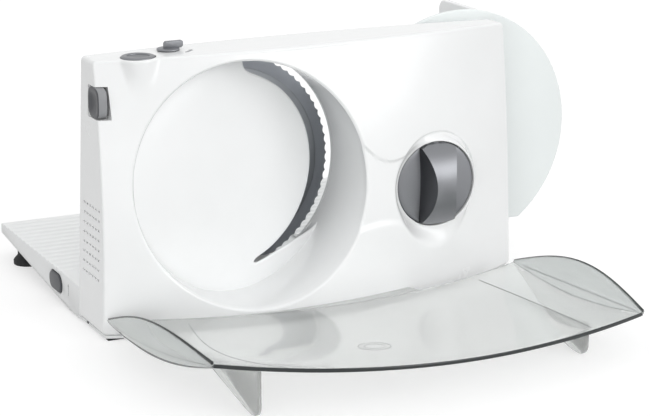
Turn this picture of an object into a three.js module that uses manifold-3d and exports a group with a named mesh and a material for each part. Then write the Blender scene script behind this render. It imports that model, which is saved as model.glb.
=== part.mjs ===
// Electric food slicer with a curved housing, toothed round blade, stop plate, food sled and slice tray.
// Millimetres, +Z up, +Y towards the food side, slices leave towards -Y.
import * as THREE from "three";
import { mergeVertices } from "three/addons/utils/BufferGeometryUtils.js";
import Module from "manifold-3d";

const wasm = await Module();
wasm.setup();

// Clearances
const gap = 0.3;
const runGap = 0.5;

// Longer than any piece, for cuts that pass right through
const beyond = 500;

// Housing: the front is a height field over X and Z, the rear is the plane Y = 0
const housingHeight = 199.5;
const housingBottom = 4;
const topHalfWidth = 170.4;
const sideDraft = 0.039;
const topCrown = 2.4;
const wall = 2.5;
const bulgeX = -28;
const topDepth = 48.5;
const topDropLeft = 25;
const topDropRight = 31.5;
const leanDepth = 33;
const leanDropLeft = 2;
const leanDropRight = 24;
const leanPower = 2.2;
const frontColumns = 26;
const frontRows = 14;

// Slice outlet: a round recess with a slanted floor and a crescent passage at its right
const recessInset = 107.4;
const recessX = recessInset - topHalfWidth;
const recessZ = 105.5;
const recessRadius = 89;
const recessMargin = 20;
const floorLeftStep = 1.5;
const floorRightDepth = 9;
const floorEdgeX = recessX - 4.6;
const floorEdgeZ = 109.4;
const floorEdgeRadius = 72.8;
const passageLeftX = recessX + 11;
const boreShiftX = 5.9;
const boreShiftZ = 2.1;
const boreShrink = 2.4;
const passageLowZ = 41.2;
const passageSlope = 0.463;
const passageFall = 0.534;
const panelStep = 1.1;
const neckStart = 85;
const neckWaist = 12;
const neckEnd = 31;
const neckHighStart = 25;
const neckHighDip = 21;
const neckHighEnd = 31;
const neckLowStart = 47;
const neckLowRise = 13;
const neckLowEnd = 26;

// Blade and drive train
const bladeX = recessX + 12.5;
const bladeZ = 102;
const bladeRadius = 85.5;
const bladeFaceY = 20;
const bladeThickness = 1.8;
const bladeRimThickness = 0.9;
const bladeRimWidth = 10;
const bladeTeeth = 76;
const toothDepth = 1.3;
const gearModule = 1.37;
const gearTeeth = 48;
const pinionTeeth = 12;
const gearWidth = 7;
const gearStartY = 2;
const gearBacklash = 0.4;
const idlerAngle = 207.5;
const idlerShaftRadius = 3;
const wheelTeeth = 30;
const wheelRadius = 15.5;
const wheelWidth = 8;
const wormRadius = 4.5;
const wormCoreRadius = 3.2;
const wormPitch = 3.2;
const wormLength = 30;
const wormY = -22;
const motorRadius = 16;
const motorLength = 50;
const motorInset = 5.4;
const motorLeftX = motorInset - topHalfWidth;
const motorShaftRadius = 2.5;
const motorCanWall = 2.5;
const armatureSlots = 8;
const screwHead = 0.9;
const cupDepth = 13;
const cupWall = 2;
const cupMargin = 2;
const bushWall = 3;

// Stop plate and thickness setting
const plateThickness = 3.4;
const plateRightX = 151.2;
const plateRightZ = 108.1;
const plateRightRadius = 97.5;
const plateBottom = 29.5;
const plateBladeGap = 3.5;
const plateTopAngle = 40;
const plateArcEnd = 125;
const knobX = 92;
const knobZ = 87.6;
const knobRadius = 32.5;
const knobFaceY = -54;
const knobDiscDepth = 9;
const knobGripHeight = 19;
const knobGripWidth = 31;
const knobGripWaist = 16;
const ringWidth = 3;
const dishDepth = 20;
const dishFlare = 14;
const spindleRadius = 6;
const rodRadius = 4;
const rodInset = 20.4;
const rodX = topHalfWidth - rodInset;
const rodHighZ = 150;
const rodLowZ = 60;

// Switches
const buttonInset = 33.9;
const buttonX = buttonInset - topHalfWidth;
const buttonY = -26;
const buttonRadius = 12.5;
const buttonRise = 1.2;
const buttonTravel = 3;
const bulgeRadius = 16;
const bulgeLength = 95;
const leverInset = 61.4;
const leverX = leverInset - topHalfWidth;
const leverY = -15;
const leverRadius = 8.5;
const leverFin = 6.5;
const leverReach = 11.2;
const interlockY = -27;
const interlockDrop = 29;
const interlockZ = housingHeight - interlockDrop;
const interlockRadius = 11;
const interlockWidth = 7.2;
const interlockTravel = 2;
const interlockDish = 2;
const switchSize = 12;

// Table, sled and feet
const tableOverhang = 7.1;
const tableHalfWidth = topHalfWidth + tableOverhang;
const tableTop = 27;
const tableRear = 191;
const tableRearBottom = 19;
const tableFlatEnd = 24;
const tableWall = 2.6;
const plateLow = 1.5;
const ridgeHeight = 0.8;
const ridgePitch = 10;
const bladeSlotWidth = 9;
const releaseY = 53;
const releaseZ = 16;
const releaseLength = 27;
const releaseHeight = 14;
const sledInset = 5.5;
const sledLength = 152;
const sledThickness = 3;
const sledFront = 23.5;
const sledWallThickness = 6;
const sledWallHeight = 78;
const guardHeight = 204;
const guardBlend = 20;
const guardWidth = 54;
const sledLip = 3;
const footRadius = 12;
const footBossRadius = 11;
const rearFootInset = 12.5;
const rearFootX = tableHalfWidth - rearFootInset;
const rearFootY = 160;
const rearFootHeight = 13;
const padSize = 12;

// Slice tray
const trayX = -8;
const trayHalfBack = topHalfWidth - 3.4;
const trayTaper = 4;
const trayBackY = -98;
const trayBackRise = 38;
const trayFrontY = -274;
const trayFrontRise = 31;
const trayBackZ = 18;
const trayFrontZ = 30;
const traySag = 4;
const trayRoll = 7.1;
const trayRollEnd = 0.3;
const trayCornerRise = 0.5;
const trayEndSag = 3;
const traySheet = 2.5;
const wingRise = 25.5;
const wingFlare = 5;
const finThickness = 3;
const finLeftX = -140;
const finRightX = 117.5;
const finLeftFrontY = -243;
const finRightFrontY = -231.5;
const finLength = 90;
const finBackZ = 13;
const finTip = 9;
const finHeadroom = 20;
const lipLeft = -140;
const lipRight = 60;

// Solids from geometry and back
function solid(geometry) {
  const bare = geometry.index ? geometry.toNonIndexed() : geometry.clone();
  bare.deleteAttribute("normal");
  bare.deleteAttribute("uv");
  const merged = mergeVertices(bare, 1e-4);
  return new wasm.Manifold(
    new wasm.Mesh({
      numProp: 3,
      vertProperties: new Float32Array(merged.attributes.position.array),
      triVerts: new Uint32Array(merged.index.array),
    }),
  );
}

function geometryOf(body) {
  const mesh = body.getMesh();
  const geometry = new THREE.BufferGeometry();
  geometry.setAttribute("position", new THREE.BufferAttribute(mesh.vertProperties, 3));
  geometry.setIndex(new THREE.BufferAttribute(mesh.triVerts, 1));
  const flat = geometry.toNonIndexed();
  flat.computeVertexNormals();
  return flat;
}

function join(bodies) {
  return bodies.reduce((sum, body) => sum.add(body));
}

// Flat shapes
function circle(x, y, radius) {
  return new THREE.Shape().absarc(x, y, radius, 0, 2 * Math.PI);
}

function annulus(x, y, outer, inner) {
  const shape = circle(x, y, outer);
  shape.holes.push(circle(x, y, inner));
  return shape;
}

function polygon(points) {
  return new THREE.Shape(points.map(([x, y]) => new THREE.Vector2(x, y)));
}

function capsule(x, y, length, height) {
  const r = height / 2;
  const half = length / 2 - r;
  const shape = new THREE.Shape();
  shape.absarc(x + half, y, r, -Math.PI / 2, Math.PI / 2);
  shape.absarc(x - half, y, r, Math.PI / 2, 1.5 * Math.PI);
  return shape;
}

// Prisms along each axis: a shape in (X, Z) along Y, in (Y, Z) along X, in (X, Y) along Z
const shapeToX = new THREE.Matrix4().set(0, 0, 1, 0, 1, 0, 0, 0, 0, 1, 0, 0, 0, 0, 0, 1);

function extrude(shape, depth, curveSegments) {
  return new THREE.ExtrudeGeometry(shape, { depth, curveSegments, bevelEnabled: false });
}

function prismY(shape, low, high, curveSegments = 16) {
  return solid(extrude(shape, high - low, curveSegments).rotateX(Math.PI / 2).translate(0, high, 0));
}

function prismX(shape, low, high, curveSegments = 12) {
  return solid(extrude(shape, high - low, curveSegments).applyMatrix4(shapeToX).translate(low, 0, 0));
}

function prismZ(shape, low, high, curveSegments = 12) {
  return solid(extrude(shape, high - low, curveSegments).translate(0, 0, low));
}

function box(x0, x1, y0, y1, z0, z1) {
  const geometry = new THREE.BoxGeometry(x1 - x0, y1 - y0, z1 - z0);
  return solid(geometry.translate((x0 + x1) / 2, (y0 + y1) / 2, (z0 + z1) / 2));
}

// A solid of revolution about a vertical axis, from [radius, height] points that start and end on it
function turned(points, x, y, segments = 24) {
  const profile = points.map(([r, z]) => new THREE.Vector2(r, z));
  return solid(new THREE.LatheGeometry(profile, segments).rotateX(Math.PI / 2).translate(x, y, 0));
}

// A closed body between two grids of points, near(u, v) and far(u, v), for u and v from 0 to 1
function between(near, far, columns, rows) {
  const points = [];
  const triangles = [];
  const across = columns + 1;
  const layer = across * (rows + 1);
  for (const side of [near, far]) {
    for (let j = 0; j <= rows; j++) {
      for (let i = 0; i <= columns; i++) {
        points.push(...side(i / columns, j / rows));
      }
    }
  }
  const quad = (a, b, c, d) => triangles.push(a, b, c, a, c, d);
  for (let j = 0; j < rows; j++) {
    for (let i = 0; i < columns; i++) {
      const a = j * across + i;
      quad(a, a + 1, a + 1 + across, a + across);
      quad(a + layer, a + layer + across, a + layer + across + 1, a + layer + 1);
    }
  }
  for (let i = 0; i < columns; i++) {
    const top = rows * across + i;
    quad(i, i + layer, i + layer + 1, i + 1);
    quad(top, top + 1, top + 1 + layer, top + layer);
  }
  for (let j = 0; j < rows; j++) {
    const left = j * across;
    const right = left + columns;
    quad(left, left + across, left + across + layer, left + layer);
    quad(right, right + layer, right + layer + across, right + across);
  }
  const geometry = new THREE.BufferGeometry();
  geometry.setAttribute("position", new THREE.Float32BufferAttribute(points, 3));
  geometry.setIndex(triangles);
  return solid(geometry);
}

// Housing surfaces
function dropAt(x, left, right) {
  const reach = x < bulgeX ? -topHalfWidth - bulgeX : topHalfWidth - bulgeX;
  return (x < bulgeX ? left : right) * ((x - bulgeX) / reach) ** 2;
}

function frontDepth(x, z) {
  const down = THREE.MathUtils.clamp((housingHeight - z) / (housingHeight - housingBottom), 0, 1);
  const lean = leanDepth - dropAt(x, leanDropLeft, leanDropRight);
  return topDepth - dropAt(x, topDropLeft, topDropRight) + lean * (1 - (1 - down) ** leanPower);
}

function sideX(z) {
  return topHalfWidth + sideDraft * (housingHeight - z);
}

function topZ(u) {
  return housingHeight + topCrown * (1 - u * u);
}

// The space inside the housing's outline, drawn in by inset, from its front to the plane Y = rear
function housingSpace(inset, bottom, rear) {
  const place = (u, v) => {
    const across = 2 * u - 1;
    const z = bottom + (topZ(across) - inset - bottom) * v;
    return [across * (sideX(z) - inset), z];
  };
  const front = (u, v) => {
    const [x, z] = place(u, v);
    return [x, -frontDepth(x, z) + inset, z];
  };
  const back = (u, v) => {
    const [x, z] = place(u, v);
    return [x, rear, z];
  };
  return between(front, back, frontColumns, frontRows);
}

// The recess floor is ruled: it starts just under the front surface at the left and ends deep at the right
function floorY(x, z) {
  const left = recessX - recessRadius;
  const share = THREE.MathUtils.clamp((x - left) / (2 * recessRadius), 0, 1);
  const leftY = -frontDepth(left, z) + floorLeftStep;
  return leftY + (-floorRightDepth - leftY) * share;
}

// The outlet's bore is round at the front surface, then narrows a little and drifts to the right
function outletBore(low, high, grow) {
  const segments = 64;
  const rings = 4;
  const points = [];
  const triangles = [];
  for (let i = 0; i < segments; i++) {
    const turn = (2 * Math.PI * i) / segments;
    const c = Math.cos(turn);
    const s = Math.sin(turn);
    const front = -frontDepth(recessX + recessRadius * c, recessZ + recessRadius * s);
    for (const y of [low, Math.max(front, low + gap), Math.min(0, high - gap), high]) {
      const share = THREE.MathUtils.clamp(1 - y / front, 0, 1);
      const radius = recessRadius + grow - share * boreShrink;
      points.push(recessX + share * boreShiftX + radius * c, y, recessZ + share * boreShiftZ + radius * s);
    }
  }
  points.push(recessX, low, recessZ, recessX, high, recessZ);
  const lowMiddle = segments * rings;
  for (let i = 0; i < segments; i++) {
    const a = i * rings;
    const b = ((i + 1) % segments) * rings;
    for (let k = 0; k < rings - 1; k++) {
      triangles.push(a + k, a + k + 1, b + k + 1, a + k, b + k + 1, b + k);
    }
    triangles.push(lowMiddle, a, b, lowMiddle + 1, b + rings - 1, a + rings - 1);
  }
  const geometry = new THREE.BufferGeometry();
  geometry.setAttribute("position", new THREE.Float32BufferAttribute(points, 3));
  geometry.setIndex(triangles);
  return solid(geometry);
}

function recessSpace(grow) {
  const reach = recessRadius + recessMargin;
  const ahead = -topDepth - leanDepth - recessMargin;
  const place = (u, v) => [recessX + (2 * u - 1) * reach, recessZ + (2 * v - 1) * reach];
  const near = (u, v) => {
    const [x, z] = place(u, v);
    return [x, ahead, z];
  };
  const floor = (u, v) => {
    const [x, z] = place(u, v);
    return [x, floorY(x, z) + grow, z];
  };
  return outletBore(ahead + 1, 10, grow).intersect(between(near, floor, 10, 10));
}

// Passage between the floor's round edge and the bore, closed at the left and below a slanted plane
function crescent(low, high, grow) {
  const round = outletBore(low, high, grow);
  const disc = prismY(circle(floorEdgeX, floorEdgeZ, floorEdgeRadius - grow), low - 1, high + 1, 32);
  const leftPart = box(-beyond, passageLeftX - grow, low - 1, high + 1, -beyond, beyond);
  const lowPart = polygon([
    [-beyond, passageLowZ - grow - passageSlope * beyond],
    [beyond, passageLowZ - grow - passageSlope * beyond],
    [beyond, passageLowZ - grow + passageSlope * beyond],
  ]);
  const lowSide = prismY(lowPart, low - 1, high + 1).warp((point) => {
    point[2] -= passageFall * point[1];
  });
  return round.subtract(disc).subtract(leftPart).subtract(lowSide);
}

// Sunken panel that joins the outlet to the knob's dish, with an S-shaped edge above and below
function neckShape() {
  const waistX = recessX + recessRadius + neckWaist;
  const endX = knobX - neckEnd;
  const shape = new THREE.Shape();
  shape.moveTo(recessX, recessZ);
  shape.lineTo(recessX + neckStart, recessZ + neckHighStart);
  shape.quadraticCurveTo(waistX, knobZ + neckHighDip, endX, knobZ + neckHighEnd);
  shape.lineTo(knobX, knobZ);
  shape.lineTo(endX, knobZ - neckLowEnd);
  const lowStartX = recessX + neckStart - neckHighStart;
  shape.quadraticCurveTo(waistX, knobZ - neckLowRise, lowStartX, recessZ - neckLowStart);
  return shape;
}

const ringFrontY = knobFaceY - 1;
const knobBackY = knobFaceY + knobDiscDepth;
const pocketRadius = knobRadius + runGap;
const ringRadius = pocketRadius + ringWidth;

// Cone that opens forwards from the knob's edge
function knobDish(grow) {
  const inner = pocketRadius + runGap + grow;
  const cone = new THREE.CylinderGeometry(inner, inner + dishFlare, dishDepth, 48);
  return solid(cone.translate(knobX, ringFrontY + grow - dishDepth / 2, knobZ));
}

function ventHoles() {
  const rows = 8;
  const perRow = 6;
  const rowPitch = 7.3;
  const lowestZ = 42;
  const firstY = -42;
  const holePitch = 6;
  const holes = [];
  for (let row = 0; row < rows; row++) {
    for (let hole = 0; hole < perRow; hole++) {
      const y = firstY + hole * holePitch;
      const z = lowestZ + row * rowPitch;
      holes.push(box(-sideX(z) - 5, -sideX(z) + 8, y, y + 4, z, z + 1.6));
    }
  }
  return join(holes);
}

function frontShell() {
  const outer = housingSpace(0, housingBottom, 0);
  const panel = housingSpace(-wall, housingBottom, 0)
    .subtract(housingSpace(panelStep, housingBottom - wall, wall))
    .intersect(prismY(neckShape(), -beyond, 0));
  const ringBoss = prismY(circle(knobX, knobZ, ringRadius), ringFrontY, -wall - gap, 24);
  const bulge = prismZ(circle(buttonX, buttonY, bulgeRadius), housingHeight - bulgeLength, topZ(0.75), 16);
  const inFront = box(-beyond, beyond, -beyond, -1, housingBottom, topZ(0));
  const bulgeLow = housingHeight - bulgeLength + wall;
  const cavity = housingSpace(wall, housingBottom - 5, 5)
    .add(prismZ(circle(buttonX, buttonY, bulgeRadius - wall), bulgeLow, housingHeight - wall, 16))
    .subtract(recessSpace(wall))
    .subtract(knobDish(wall))
    .subtract(prismY(circle(knobX, knobZ, ringRadius), ringFrontY, knobBackY + runGap + wall, 24));
  const passageWall = crescent(-topDepth, -wall - gap, wall)
    .subtract(crescent(-beyond, 1, 0))
    .subtract(recessSpace(0));
  const pocket = prismY(circle(knobX, knobZ, pocketRadius), -beyond, knobBackY + runGap, 24);
  const spindleHole = prismY(circle(knobX, knobZ, spindleRadius + runGap), knobFaceY, wall);
  const buttonRound = circle(buttonX, buttonY, buttonRadius + runGap);
  const buttonHole = prismZ(buttonRound, housingHeight - buttonRadius, beyond, 16);
  const leverRound = circle(leverX, leverY, leverRadius / 2 + runGap);
  const leverHole = prismZ(leverRound, housingHeight - leverRadius, beyond, 12);
  const interlockNotch = box(
    -beyond,
    -topHalfWidth - 1.5 + interlockWidth + interlockTravel + runGap,
    -beyond,
    interlockY + interlockRadius + runGap,
    interlockZ - interlockRadius - runGap,
    interlockZ + interlockRadius + runGap,
  );
  return outer
    .subtract(panel)
    .add(ringBoss)
    .add(bulge.intersect(inFront))
    .subtract(cavity)
    .subtract(recessSpace(0))
    .add(passageWall)
    .subtract(crescent(-beyond, wall, 0))
    .subtract(knobDish(0))
    .subtract(pocket)
    .subtract(spindleHole)
    .subtract(buttonHole)
    .subtract(leverHole)
    .subtract(interlockNotch)
    .subtract(ventHoles());
}

// Drive train places
const pitchSum = (gearModule * (gearTeeth + pinionTeeth)) / 2;
const idlerX = bladeX + pitchSum * Math.cos(THREE.MathUtils.degToRad(idlerAngle));
const idlerZ = bladeZ + pitchSum * Math.sin(THREE.MathUtils.degToRad(idlerAngle));
const wormZ = idlerZ - wheelRadius - wormRadius - gap;
const gearTip = (gearModule * gearTeeth) / 2 + gearModule;
const pinionTip = (gearModule * pinionTeeth) / 2 + gearModule;
const hubRadius = 6;
const bladeBackY = bladeFaceY - bladeThickness;

// Toothed wheel outline with straight flanks; a tooth points along phase
function gearShape(x, y, teeth, module, phase, bore) {
  const pitch = (module * teeth) / 2;
  const root = pitch - 1.25 * module;
  const tip = pitch + 0.9 * module;
  const half = Math.PI / (2 * teeth) - gearBacklash / (2 * pitch);
  const points = [];
  for (let tooth = 0; tooth < teeth; tooth++) {
    const middle = phase + (2 * Math.PI * tooth) / teeth;
    const corners = [
      [root, -1.4 * half],
      [tip, -0.45 * half],
      [tip, 0.45 * half],
      [root, 1.4 * half],
    ];
    for (const [r, turn] of corners) {
      points.push([x + r * Math.cos(middle + turn), y + r * Math.sin(middle + turn)]);
    }
  }
  const shape = polygon(points);
  if (bore > 0) {
    shape.holes.push(circle(x, y, bore));
  }
  return shape;
}

function rearOutline(inset) {
  const steps = 16;
  const points = [];
  const low = housingBottom + gap;
  points.push([-sideX(low) + inset, low]);
  points.push([sideX(low) - inset, low]);
  for (let i = 0; i <= steps; i++) {
    const u = 1 - (2 * i) / steps;
    const z = topZ(u) - inset;
    points.push([u * (sideX(z) - inset), z]);
  }
  return polygon(points);
}

const screwX = topHalfWidth - 10.4;
const screwLowZ = tableTop + 9;
const screwHighZ = housingHeight - 8.5;
const screwPlaces = [
  [-screwX, screwLowZ],
  [-screwX, screwHighZ],
  [screwX, screwLowZ],
  [screwX, screwHighZ],
];
const screwRadius = 1.5;

function rearCover() {
  const panel = prismY(rearOutline(wall + gap), -wall, 0);
  const cup = prismY(circle(bladeX, bladeZ, gearTip + cupMargin + cupWall), -wall, cupDepth, 20).add(
    prismY(circle(idlerX, idlerZ, pinionTip + cupMargin + cupWall), -wall, cupDepth, 12),
  );
  const pocketEnd = cupDepth - cupWall;
  const pocket = prismY(circle(bladeX, bladeZ, gearTip + cupMargin), -wall - 1, pocketEnd, 20).add(
    prismY(circle(idlerX, idlerZ, pinionTip + cupMargin), -wall - 1, pocketEnd, 12),
  );
  const holes = [
    prismY(circle(bladeX, bladeZ, hubRadius + runGap + bushWall + gap), 0, cupDepth + 1),
    prismY(circle(idlerX, idlerZ, idlerShaftRadius + gap), 0, cupDepth + 1, 8),
    prismY(circle(knobX, knobZ, spindleRadius + bushWall + 2 * runGap), -wall - 1, 1),
    prismY(circle(rodX, rodHighZ, rodRadius + runGap), -wall - 1, 1),
    prismY(circle(rodX, rodLowZ, rodRadius + runGap), -wall - 1, 1),
    crescent(-wall - 1, cupDepth + 2, 0),
    ...screwPlaces.map(([x, z]) => prismY(circle(x, z, screwRadius + gap), -wall - 1, 1, 6)),
  ];
  return panel.add(cup).subtract(pocket).subtract(join(holes));
}

function rearScrew([x, z]) {
  const head = prismY(circle(x, z, 2 * screwRadius), gap, gap + screwHead, 8);
  return head.add(prismY(circle(x, z, screwRadius), -4 * wall, gap + screwHead / 2, 6));
}

// Screw posts stand inside the front shell
function screwPosts() {
  const posts = screwPlaces.map(([x, z]) => {
    const inner = -frontDepth(x, z) + wall / 2;
    return prismY(circle(x, z, 4), inner, -wall - gap, 8);
  });
  const bores = screwPlaces.map(([x, z]) => prismY(circle(x, z, screwRadius + gap), -5 * wall, 1, 6));
  const inside = housingSpace(wall / 2, housingBottom, 0);
  return join(posts).intersect(inside).subtract(join(bores));
}

// Blade: toothed thin rim round a thicker body
function blade() {
  const outline = new THREE.Shape();
  const steps = bladeTeeth * 4;
  for (let i = 0; i < steps; i++) {
    const turn = (2 * Math.PI * i) / steps;
    const r = bladeRadius - toothDepth * Math.abs(Math.sin((Math.PI * i) / 4));
    const point = [bladeX + r * Math.cos(turn), bladeZ + r * Math.sin(turn)];
    if (i === 0) {
      outline.moveTo(...point);
    } else {
      outline.lineTo(...point);
    }
  }
  const rim = prismY(outline, bladeFaceY - bladeRimThickness, bladeFaceY);
  const body = prismY(circle(bladeX, bladeZ, bladeRadius - bladeRimWidth), bladeBackY, bladeFaceY, 32);
  return rim.add(body).subtract(prismY(circle(bladeX, bladeZ, 3 + gap), 0, beyond, 8));
}

function bladeGear() {
  const phase = THREE.MathUtils.degToRad(idlerAngle);
  const outline = gearShape(bladeX, bladeZ, gearTeeth, gearModule, phase, 0);
  const wheel = prismY(outline, gearStartY, gearStartY + gearWidth);
  const hub = prismY(circle(bladeX, bladeZ, hubRadius), gearStartY - 2, bladeBackY - gap, 12);
  const bore = prismY(circle(bladeX, bladeZ, 3 + gap), gearStartY + 4, bladeFaceY, 8);
  return wheel.add(hub).subtract(bore);
}

function bladeScrew() {
  const head = prismY(circle(bladeX, bladeZ, 9), bladeFaceY + gap, bladeFaceY + 2.6, 12);
  const slot = box(bladeX - 10, bladeX + 10, bladeFaceY + 1.6, bladeFaceY + 4, bladeZ - 0.8, bladeZ + 0.8);
  const shank = prismY(circle(bladeX, bladeZ, 3), gearStartY + 5, bladeFaceY + 1, 8);
  return head.add(shank).subtract(slot);
}

function bladeBearing() {
  const inner = hubRadius + runGap / 5;
  return prismY(annulus(bladeX, bladeZ, hubRadius + runGap + bushWall, inner), cupDepth - 4, cupDepth + 2, 12);
}

function idlerPinion() {
  const phase = THREE.MathUtils.degToRad(idlerAngle) + Math.PI + Math.PI / pinionTeeth;
  const shape = gearShape(idlerX, idlerZ, pinionTeeth, gearModule, phase, idlerShaftRadius + gap);
  return prismY(shape, gearStartY, gearStartY + gearWidth, 8);
}

function wormWheel() {
  const module = (2 * wheelRadius) / (wheelTeeth + 2);
  const shape = gearShape(idlerX, idlerZ, wheelTeeth, module, 0, idlerShaftRadius + gap);
  return prismY(shape, wormY - wheelWidth / 2, wormY + wheelWidth / 2, 8);
}

const idlerShaftStart = wormY - wheelWidth / 2 - 2.6;

function idlerShaft() {
  return prismY(circle(idlerX, idlerZ, idlerShaftRadius), idlerShaftStart, cupDepth - 0.4, 8);
}

// Worm: one thread that climbs round the motor shaft
class Helix extends THREE.Curve {
  constructor(radius, pitch, turns) {
    super();
    this.radius = radius;
    this.pitch = pitch;
    this.turns = turns;
  }
  getPoint(t, target = new THREE.Vector3()) {
    const angle = 2 * Math.PI * this.turns * t;
    const along = this.pitch * this.turns * t;
    return target.set(along, this.radius * Math.cos(angle), this.radius * Math.sin(angle));
  }
}

const wormStart = idlerX - wormLength / 2;

function motorShaft() {
  const shaft = prismX(circle(wormY, wormZ, motorShaftRadius), motorLeftX - 7, wormStart + 1, 8);
  const core = prismX(circle(wormY, wormZ, wormCoreRadius), wormStart, wormStart + wormLength, 8);
  const turns = Math.floor((wormLength - 4) / wormPitch);
  const thread = polygon([
    [-0.7, -0.9],
    [0.7, -0.9],
    [0.7, 0.9],
    [-0.7, 0.9],
  ]);
  const path = new Helix(wormRadius - 0.9, wormPitch, turns);
  const ridge = new THREE.ExtrudeGeometry(thread, { steps: turns * 10, extrudePath: path });
  return shaft.add(core).add(solid(ridge.translate(wormStart + 2, wormY, wormZ)));
}

function coolingFan() {
  const blades = 7;
  const shapes = [prismX(annulus(wormY, wormZ, 6, motorShaftRadius + gap), motorLeftX - 5, motorLeftX - 1, 8)];
  for (let i = 0; i < blades; i++) {
    const vane = new THREE.BoxGeometry(4, 9, 1.2).translate(0, 9.5, 0).rotateX((2 * Math.PI * i) / blades);
    shapes.push(solid(vane.translate(motorLeftX - 3, wormY, wormZ)));
  }
  return join(shapes);
}

const motorRightX = motorLeftX + motorLength;
const bracketThickness = 3;
const bracketBelow = 16;
const bracketFront = 14;
const bracketRise = 8;
const bracketFootWidth = 9;
const bracketFootRise = 8;
const bracketArmHalf = 6;
const bracketArmThickness = 1.6;

// Hollow can with a bore for the shaft through both ends
function motorCase() {
  const can = prismX(circle(wormY, wormZ, motorRadius), motorLeftX, motorRightX, 14);
  const inside = prismX(
    circle(wormY, wormZ, motorRadius - motorCanWall),
    motorLeftX + motorCanWall,
    motorRightX - motorCanWall,
    14,
  );
  const nose = prismX(circle(wormY, wormZ, 5), motorRightX - 1, motorRightX + 2, 10);
  const bore = prismX(circle(wormY, wormZ, motorShaftRadius + gap), motorLeftX - 10, motorRightX + 10, 8);
  return can.subtract(inside).add(nose).subtract(bore);
}

// Armature on the motor shaft, with winding slots along it
function armature() {
  const radius = motorRadius - motorCanWall - runGap;
  const left = motorLeftX + motorCanWall + 2;
  const right = motorRightX - motorCanWall - 2;
  const core = prismX(annulus(wormY, wormZ, radius, motorShaftRadius + gap), left, right, 12);
  const slots = [];
  for (let i = 0; i < armatureSlots; i++) {
    const slot = new THREE.BoxGeometry(beyond, 4, 1.6).translate(0, radius, 0);
    slot.rotateX((2 * Math.PI * i) / armatureSlots);
    slots.push(solid(slot.translate(0, wormY, wormZ)));
  }
  return core.subtract(join(slots));
}

// Bracket on the rear cover: an upright plate at the motor's nose and an arm that holds the idler shaft
function motorBracket() {
  const left = motorRightX + gap;
  const back = -wall - gap;
  const low = wormZ - bracketBelow;
  const armLow = idlerShaftStart + gap;
  const armHigh = armLow + bracketArmThickness;
  const armEnd = idlerX + bracketArmHalf;
  const plate = box(left, left + bracketThickness, wormY - bracketFront, back, low, idlerZ + bracketRise);
  const foot = box(left, left + bracketFootWidth, back - bracketThickness, back, low, low + bracketFootRise);
  const arm = box(left, armEnd, armLow, armHigh, idlerZ - bracketArmHalf, idlerZ + bracketArmHalf);
  const shaftHole = prismX(circle(wormY, wormZ, 5 + gap), left - 1, left + 10, 10);
  const idlerHole = prismY(circle(idlerX, idlerZ, idlerShaftRadius + gap), -beyond, 0, 8);
  return plate.add(foot).add(arm).subtract(shaftHole).subtract(idlerHole);
}

// Stop plate: round right end, left edge that follows the blade, screw tube for the knob's spindle
const plateFrontY = bladeFaceY - plateThickness;

function stopPlate() {
  const edge = bladeRadius + plateBladeGap;
  const lowTurn = Math.asin((plateBottom - bladeZ) / edge);
  const topTurn = THREE.MathUtils.degToRad(plateTopAngle);
  const rightTurn = Math.asin((plateBottom - plateRightZ) / plateRightRadius);
  const shape = new THREE.Shape();
  shape.moveTo(bladeX + edge * Math.cos(lowTurn), plateBottom);
  shape.absarc(plateRightX, plateRightZ, plateRightRadius, rightTurn, THREE.MathUtils.degToRad(plateArcEnd));
  shape.absarc(bladeX, bladeZ, edge, topTurn, lowTurn, true);
  const tubeEnd = -wall - 8;
  const tube = prismY(circle(knobX, knobZ, spindleRadius + bushWall), tubeEnd, plateFrontY + 1, 12);
  const bore = prismY(circle(knobX, knobZ, spindleRadius + gap), tubeEnd - 1, plateFrontY - 1, 12);
  return prismY(shape, plateFrontY, bladeFaceY, 24).add(tube).subtract(bore);
}

function guideRod(z) {
  return prismY(circle(rodX, z, rodRadius), -wall - 8, plateFrontY - gap, 8);
}

function guideBush(z) {
  return prismY(annulus(rodX, z, rodRadius + bushWall, rodRadius + gap), -wall - gap - 6, -wall - gap, 10);
}

// Thickness knob: a round disc with a waisted, arched grip bar across it
function thicknessKnob() {
  const disc = prismY(circle(knobX, knobZ, knobRadius), knobFaceY, knobBackY, 24);
  const half = knobGripWidth / 2;
  const waist = knobGripWaist / 2;
  const grip = new THREE.Shape();
  grip.moveTo(knobX - half, knobZ - knobRadius);
  grip.lineTo(knobX + half, knobZ - knobRadius);
  grip.quadraticCurveTo(knobX + 2 * waist - half, knobZ, knobX + half, knobZ + knobRadius);
  grip.lineTo(knobX - half, knobZ + knobRadius);
  grip.quadraticCurveTo(knobX - 2 * waist + half, knobZ, knobX - half, knobZ - knobRadius);
  const archRadius = (knobRadius ** 2 + knobGripHeight ** 2) / (2 * knobGripHeight);
  const archY = knobFaceY - knobGripHeight + archRadius;
  const arch = prismX(circle(archY, knobZ, archRadius), knobX - knobRadius, knobX + knobRadius, 24);
  const bar = prismY(grip, knobFaceY - knobGripHeight, knobBackY - 1, 10)
    .intersect(arch)
    .intersect(prismY(circle(knobX, knobZ, knobRadius - gap), -beyond, 0, 24));
  const socket = prismY(circle(knobX, knobZ, spindleRadius - 1.5 + gap), knobFaceY + 2, knobBackY + 1, 10);
  return disc.add(bar).subtract(socket);
}

function thicknessSpindle() {
  const tip = prismY(circle(knobX, knobZ, spindleRadius - 1.5), knobFaceY + 2 + gap, knobBackY + 1, 10);
  const rod = prismY(circle(knobX, knobZ, spindleRadius), knobBackY + gap, 0, 12);
  return tip.add(rod);
}

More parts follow.
